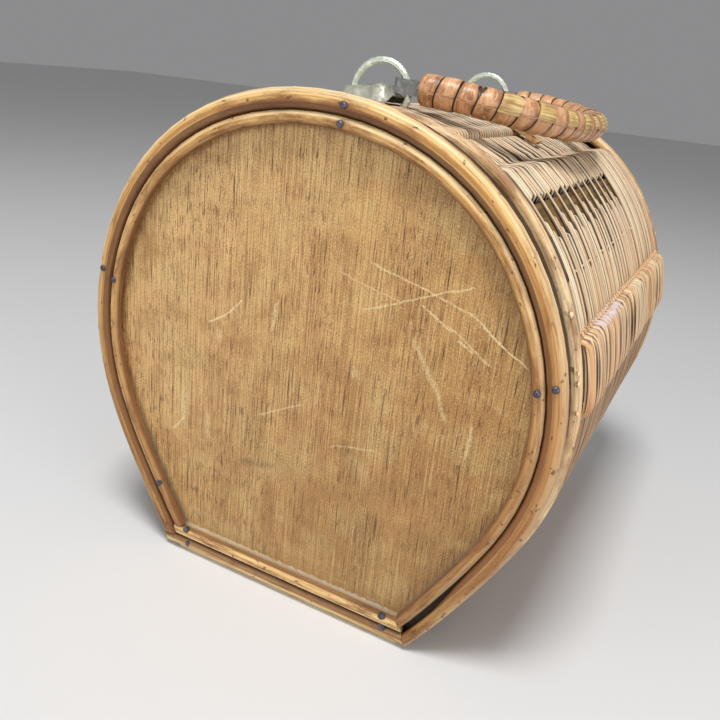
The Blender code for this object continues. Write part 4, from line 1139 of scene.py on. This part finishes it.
def make_handle():
    rng = random.Random(3)
    count = round(bow_length / WRAP_WIDTH)
    width = bow_length / count
    edges = [width * i + (rng.uniform(-0.0005, 0.0005) if 0 < i < count else 0) for i in range(count + 1)]
    tilts = [rng.uniform(0.0004, 0.0013) for _ in edges]
    tilts[0] = tilts[-1] = 0.0
    slits = [rng.uniform(0.0005, 0.0016) if rng.random() < 0.6 else 0.0001 for _ in edges]
    slit_turns = [rng.uniform(20, 110) for _ in edges]

    def edge(i, turn, inwards):
        """Where a wrap's edge i lies at a turn. inwards is 1 where the wrap starts and -1 where it ends."""
        run = edges[i] + tilts[i] * sin(radians(turn))
        wrapped = (turn - slit_turns[i] + 180) % 360 - 180
        run += inwards * (0.00012 + slits[i] * exp(-(wrapped / 30) ** 2))
        if i in (0, count):
            run += 0.0004 * ripple(turn * 0.11, i, 0) * (1 if i == 0 else -1)
        return run

    wraps = Solid()
    for n in range(count):
        lift = rng.uniform(-0.00015, 0.0002)
        over = n > FIRST_STRAW_WRAP and (n - FIRST_STRAW_WRAP) % 2
        thin = 0.0004 if n == 2 else 0.0
        rings = []
        for j in range(WRAP_POINTS):
            turn = 360 * j / WRAP_POINTS
            start, end = edge(n, turn, 1), edge(n + 1, turn, -1)
            swell = 0.0
            if over:
                wrapped = (turn + 180) % 360 - 180
                swell = 0.0005 * ease(wrapped, STRAW_LOW_DEG - 12, STRAW_LOW_DEG)
                swell *= ease(wrapped, STRAW_HIGH_DEG + 12, STRAW_HIGH_DEG)
            face = HANDLE_RADIUS - 0.0002 + lift + swell - thin
            section = [(share, face + level, shade) for share, level, shade in WRAP_SECTION]
            # The turn's sides, going down between turns, fully in painted shade
            section += [(share, HANDLE_RADIUS - 0.0014, 1.0) for share in (1.0, 0.0)]
            spots, places = [], []
            for share, radius, _ in section:
                run = start + (end - start) * share
                spots.append(on_bow(run, turn, radius))
                places.append((radians(turn) * HANDLE_RADIUS, run))
            rings.append(wraps.ring(spots, [shade for _, _, shade in section], places))
        wraps.loop(rings, True)
    wrap = wraps.piece("handle_wraps", wrap_cane, "handle")
    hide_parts("handle_wrap")

    # A dark underwrap beneath the turns, as painted shade where they part
    under = Solid()
    rings = []
    for i in range(UNDERWRAP_STEPS + 1):
        run = 0.0008 + (bow_length - 0.0016) * i / UNDERWRAP_STEPS
        spots = [on_bow(run, 30 * j, HANDLE_RADIUS - 0.0013) for j in range(12)]
        rings.append(under.ring(spots, 0.9, [(j * 0.003, run) for j in range(12)]))
    under.tube(rings, True)
    under.piece("handle_underwrap", wrap_cane, "handle")

    strip = Solid()
    for n in range(FIRST_STRAW_WRAP, count - 2, 2):
        start, end = edges[n] + rng.uniform(-0.0004, 0.0006), edges[n + 1] + rng.uniform(-0.0002, 0.0004)
        low, high = STRAW_LOW_DEG + rng.uniform(-12, 12), STRAW_HIGH_DEG + rng.uniform(-12, 8)
        rings = []
        for i in range(STRAW_RUN_STEPS + 1):
            upper, lower, places = [], [], []
            end_fade = 0.0004 * (1 - abs(2 * i / STRAW_RUN_STEPS - 1) ** 4)
            for j in range(STRAW_TURN_STEPS + 1):
                turn = low + (high - low) * j / STRAW_TURN_STEPS
                run = start + (end - start) * i / STRAW_RUN_STEPS + tilts[n] * sin(radians(turn))
                side_fade = 0.00025 * (1 - abs(2 * j / STRAW_TURN_STEPS - 1) ** 6)
                upper.append(on_bow(run, turn, HANDLE_RADIUS + 0.0001 + end_fade + side_fade))
                lower.append(on_bow(run, turn, HANDLE_RADIUS - 0.0004))
                places.append((radians(turn) * HANDLE_RADIUS, run))
            rings.append(strip.ring(upper + lower[::-1], 0.0, places + places[::-1]))
        strip.tube(rings)
    strip.piece("handle_straw_strip", straw, "handle")


make_handle()


# Hoops: a little thinner than the solids, with a gap beside the outer rod, and drawn in at the top

HOOP_RADIUS = 0.0031
HOOP_OFFSET = -0.0011
HOOP_TOP_DROP = 0.0034
# Ends of cane that show beside the hoops: their places, and shares of the radius and of the length
KNOT_DEGS = (12, 17.5, 19.5, 30)
KNOT_PROFILE = ((0.4, -1.0), (0.9, -0.5), (1.0, 0.0), (0.8, 0.6), (0.3, 0.95))
KNOT_RADIUS = 0.0007
KNOT_HALF_LENGTH = 0.0013


def make_hoop(word, side):
    low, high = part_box(word + "_frame_hoop")
    y = (low.y + HOOP_RADIUS + 0.0001) if side > 0 else (high.y - HOOP_RADIUS - 0.0001)
    foot = low.z + HOOP_RADIUS
    start = -90.0
    while rim_point(start, HOOP_OFFSET).z < foot:
        start += 0.25
    path = []
    for i in range(121):
        at = start + (180 - 2 * start) * i / 120
        upper = min(at, 180 - at)
        spot = rim_point(upper, HOOP_OFFSET - HOOP_TOP_DROP * ease(upper, 60, 76))
        path.append(Vector((spot.x if at <= 90 else -spot.x, y, spot.z)))
    path += [Vector((path[-1].x * (1 - i / 6), y, foot)) for i in range(1, 12)]
    hoop = Solid()
    rings = []
    for i, spot in enumerate(path):
        ahead = (path[(i + 1) % len(path)] - path[i - 1]).normalized()
        out = Vector((ahead.z, 0, -ahead.x))
        spots = [spot + HOOP_RADIUS * (c * out + s * Vector((0, 1, 0))) for c, s in circle(10)]
        rings.append(hoop.ring(spots))
    hoop.loop(rings)
    made = hoop.piece(word + "_hoop_cane", hoop_cane, "basket")
    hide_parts(word + "_frame_hoop")
    knots = Solid()
    face = y + side * HOOP_RADIUS
    for number, at in enumerate(KNOT_DEGS):
        for hand in (-1, 1):
            centre = rim_point(at, HOOP_OFFSET + 0.0022)
            rings = []
            for share, lift in KNOT_PROFILE:
                reach = KNOT_RADIUS * share * (1 + 0.3 * sin(number * 2.4))
                y = face + side * KNOT_HALF_LENGTH * lift
                places = [(centre.x + reach * c, centre.z + 1.5 * reach * s) for c, s in circle(6)]
                rings.append(knots.ring([(hand * x, y, z) for x, z in places]))
            knots.tube(rings, (side > 0) == (hand > 0))
    knots.piece(word + "_hoop_knots", wicker, "basket")


make_hoop("front", -1)
make_hoop("back", 1)


# Crumpled metal sheets over the rings' feet

SHEET_X = (-0.0178, 0.0088)
SHEET_HEIGHTS = (0.2346, 0.2378, 0.2396, 0.24, 0.2399, 0.2402, 0.2408, 0.2406, 0.2366)
SHEET_FOOT_Z = 0.2336
SHEET_STEPS_X = 24
SHEET_STEPS_Y = 16


def make_sheet(word):
    low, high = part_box(word + "_ring_strap")
    sheet = Solid()
    rows = []
    for i in range(SHEET_STEPS_X + 1):
        x = SHEET_X[0] + (SHEET_X[1] - SHEET_X[0]) * i / SHEET_STEPS_X
        share = (len(SHEET_HEIGHTS) - 1) * i / SHEET_STEPS_X
        before = min(int(share), len(SHEET_HEIGHTS) - 2)
        top = SHEET_HEIGHTS[before] + (SHEET_HEIGHTS[before + 1] - SHEET_HEIGHTS[before]) * (share - before)
        row = []
        for j in range(SHEET_STEPS_Y + 1):
            y = low.y + (high.y - low.y) * j / SHEET_STEPS_Y
            fall = ease(abs(2 * j / SHEET_STEPS_Y - 1), 0.98, 0.42)
            crumple = 0.0011 * ripple(x * 210, y * 210, 2.5) + 0.0005 * ripple(x * 600, y * 600, 4.5)
            z = SHEET_FOOT_Z + (top - SHEET_FOOT_Z) * fall + crumple * (0.3 + 0.7 * fall)
            row.append(Vector((x, y, z)))
        rows.append(row)
    add_sheet(sheet, rows, 0.0006)
    made = sheet.piece(word + "_ring_sheet", sheet_steel, "lid", 28.0)
    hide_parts(word + "_ring_strap")


make_sheet("front")
make_sheet("back")


# Nails that hold the base rods, and one at the lower left of each end

EXTRA_NAILS = ((-0.0773, 0.0347), (-0.0588, 0.0132), (-0.0573, 0.005), (0.0561, 0.0129), (0.0568, 0.0073))
NAIL_RADIUS = 0.0019
# Share of the head's radius, and how far it stands out there
NAIL_PROFILE = ((0.86, -0.0016), (1.0, -0.0004), (0.93, 0.0002), (0.55, 0.0005))


def add_nails(side):
    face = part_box(("front" if side < 0 else "back") + "_outer_base_rod")
    y = face[0].y if side < 0 else face[1].y
    nails = Solid()
    for x, z in EXTRA_NAILS:
        rings = []
        for share, rise in NAIL_PROFILE:
            spots = []
            for j in range(10):
                turn = 2 * pi * j / 10
                reach = NAIL_RADIUS * share * (1 + 0.06 * sin(3 * turn + x * 900))
                spots.append((x + reach * cos(turn), y + side * (rise - 0.0004), z + reach * sin(turn)))
            rings.append(nails.ring(spots))
        nails.tube(rings, side > 0)
    name = ("front" if side < 0 else "back") + "_base_nails"
    nails.piece(name, nail_steel, "basket", 30.0)


add_nails(-1)
add_nails(1)


# Camera
CAMERA_PLACE = (0.15667, -0.38631, 0.24497)
CAMERA_TURN = Vector((0.33761, 0.46477, 0.18876))
CAMERA_LENS_MM = 37.17
turn = Matrix.Rotation(CAMERA_TURN.length, 3, CAMERA_TURN.normalized())
view = turn @ Matrix(((1, 0, 0), (0, 0, -1), (0, 1, 0)))
camera_data = bpy.data.cameras.new("camera")
camera_data.lens = CAMERA_LENS_MM
camera_data.sensor_width = 36
camera_data.clip_start = 0.01
camera = bpy.data.objects.new("camera", camera_data)
facing = Matrix((view[0], -view[1], -view[2])).transposed()
camera.matrix_world = Matrix.Translation(CAMERA_PLACE) @ facing.to_4x4()
bpy.context.scene.collection.objects.link(camera)
bpy.context.scene.camera = camera

# Light: name, place, size in metres and power in watts
LAMPS = (
    ("key", (0.1, -0.55, 1.6), 0.45, 21),
    ("front", (-0.8, -1.3, 0.7), 1.0, 5),
    ("side", (1.4, -0.65, 0.4), 0.8, 10),
)
for name, place, size, power in LAMPS:
    lamp = bpy.data.lights.new(name, "AREA")
    lamp.size = size
    lamp.energy = power
    lamp_object = bpy.data.objects.new(name, lamp)
    lamp_object.location = place
    aim = Vector((0, 0, 0.12)) - Vector(place)
    lamp_object.rotation_euler = aim.to_track_quat("-Z", "Y").to_euler()
    bpy.context.scene.collection.objects.link(lamp_object)
world = bpy.data.worlds.new("world")
world.use_nodes = True
world.node_tree.nodes["Background"].inputs[0].default_value = (0.88, 0.88, 0.9, 1)
world.node_tree.nodes["Background"].inputs[1].default_value = 0.3
bpy.context.scene.world = world

# Floor
mesh = bpy.data.meshes.new("floor")
mesh.from_pydata([(-6, -6, 0), (6, -6, 0), (6, 6, 0), (-6, 6, 0)], [], [(0, 1, 2, 3)])
floor = bpy.data.objects.new("floor", mesh)
bpy.context.scene.collection.objects.link(floor)
material = bpy.data.materials.new("floor")
material.use_nodes = True
material.node_tree.nodes["Principled BSDF"].inputs["Base Color"].default_value = (0.7, 0.7, 0.7, 1)
mesh.materials.append(material)
bpy.context.scene.view_settings.view_transform = "Standard"
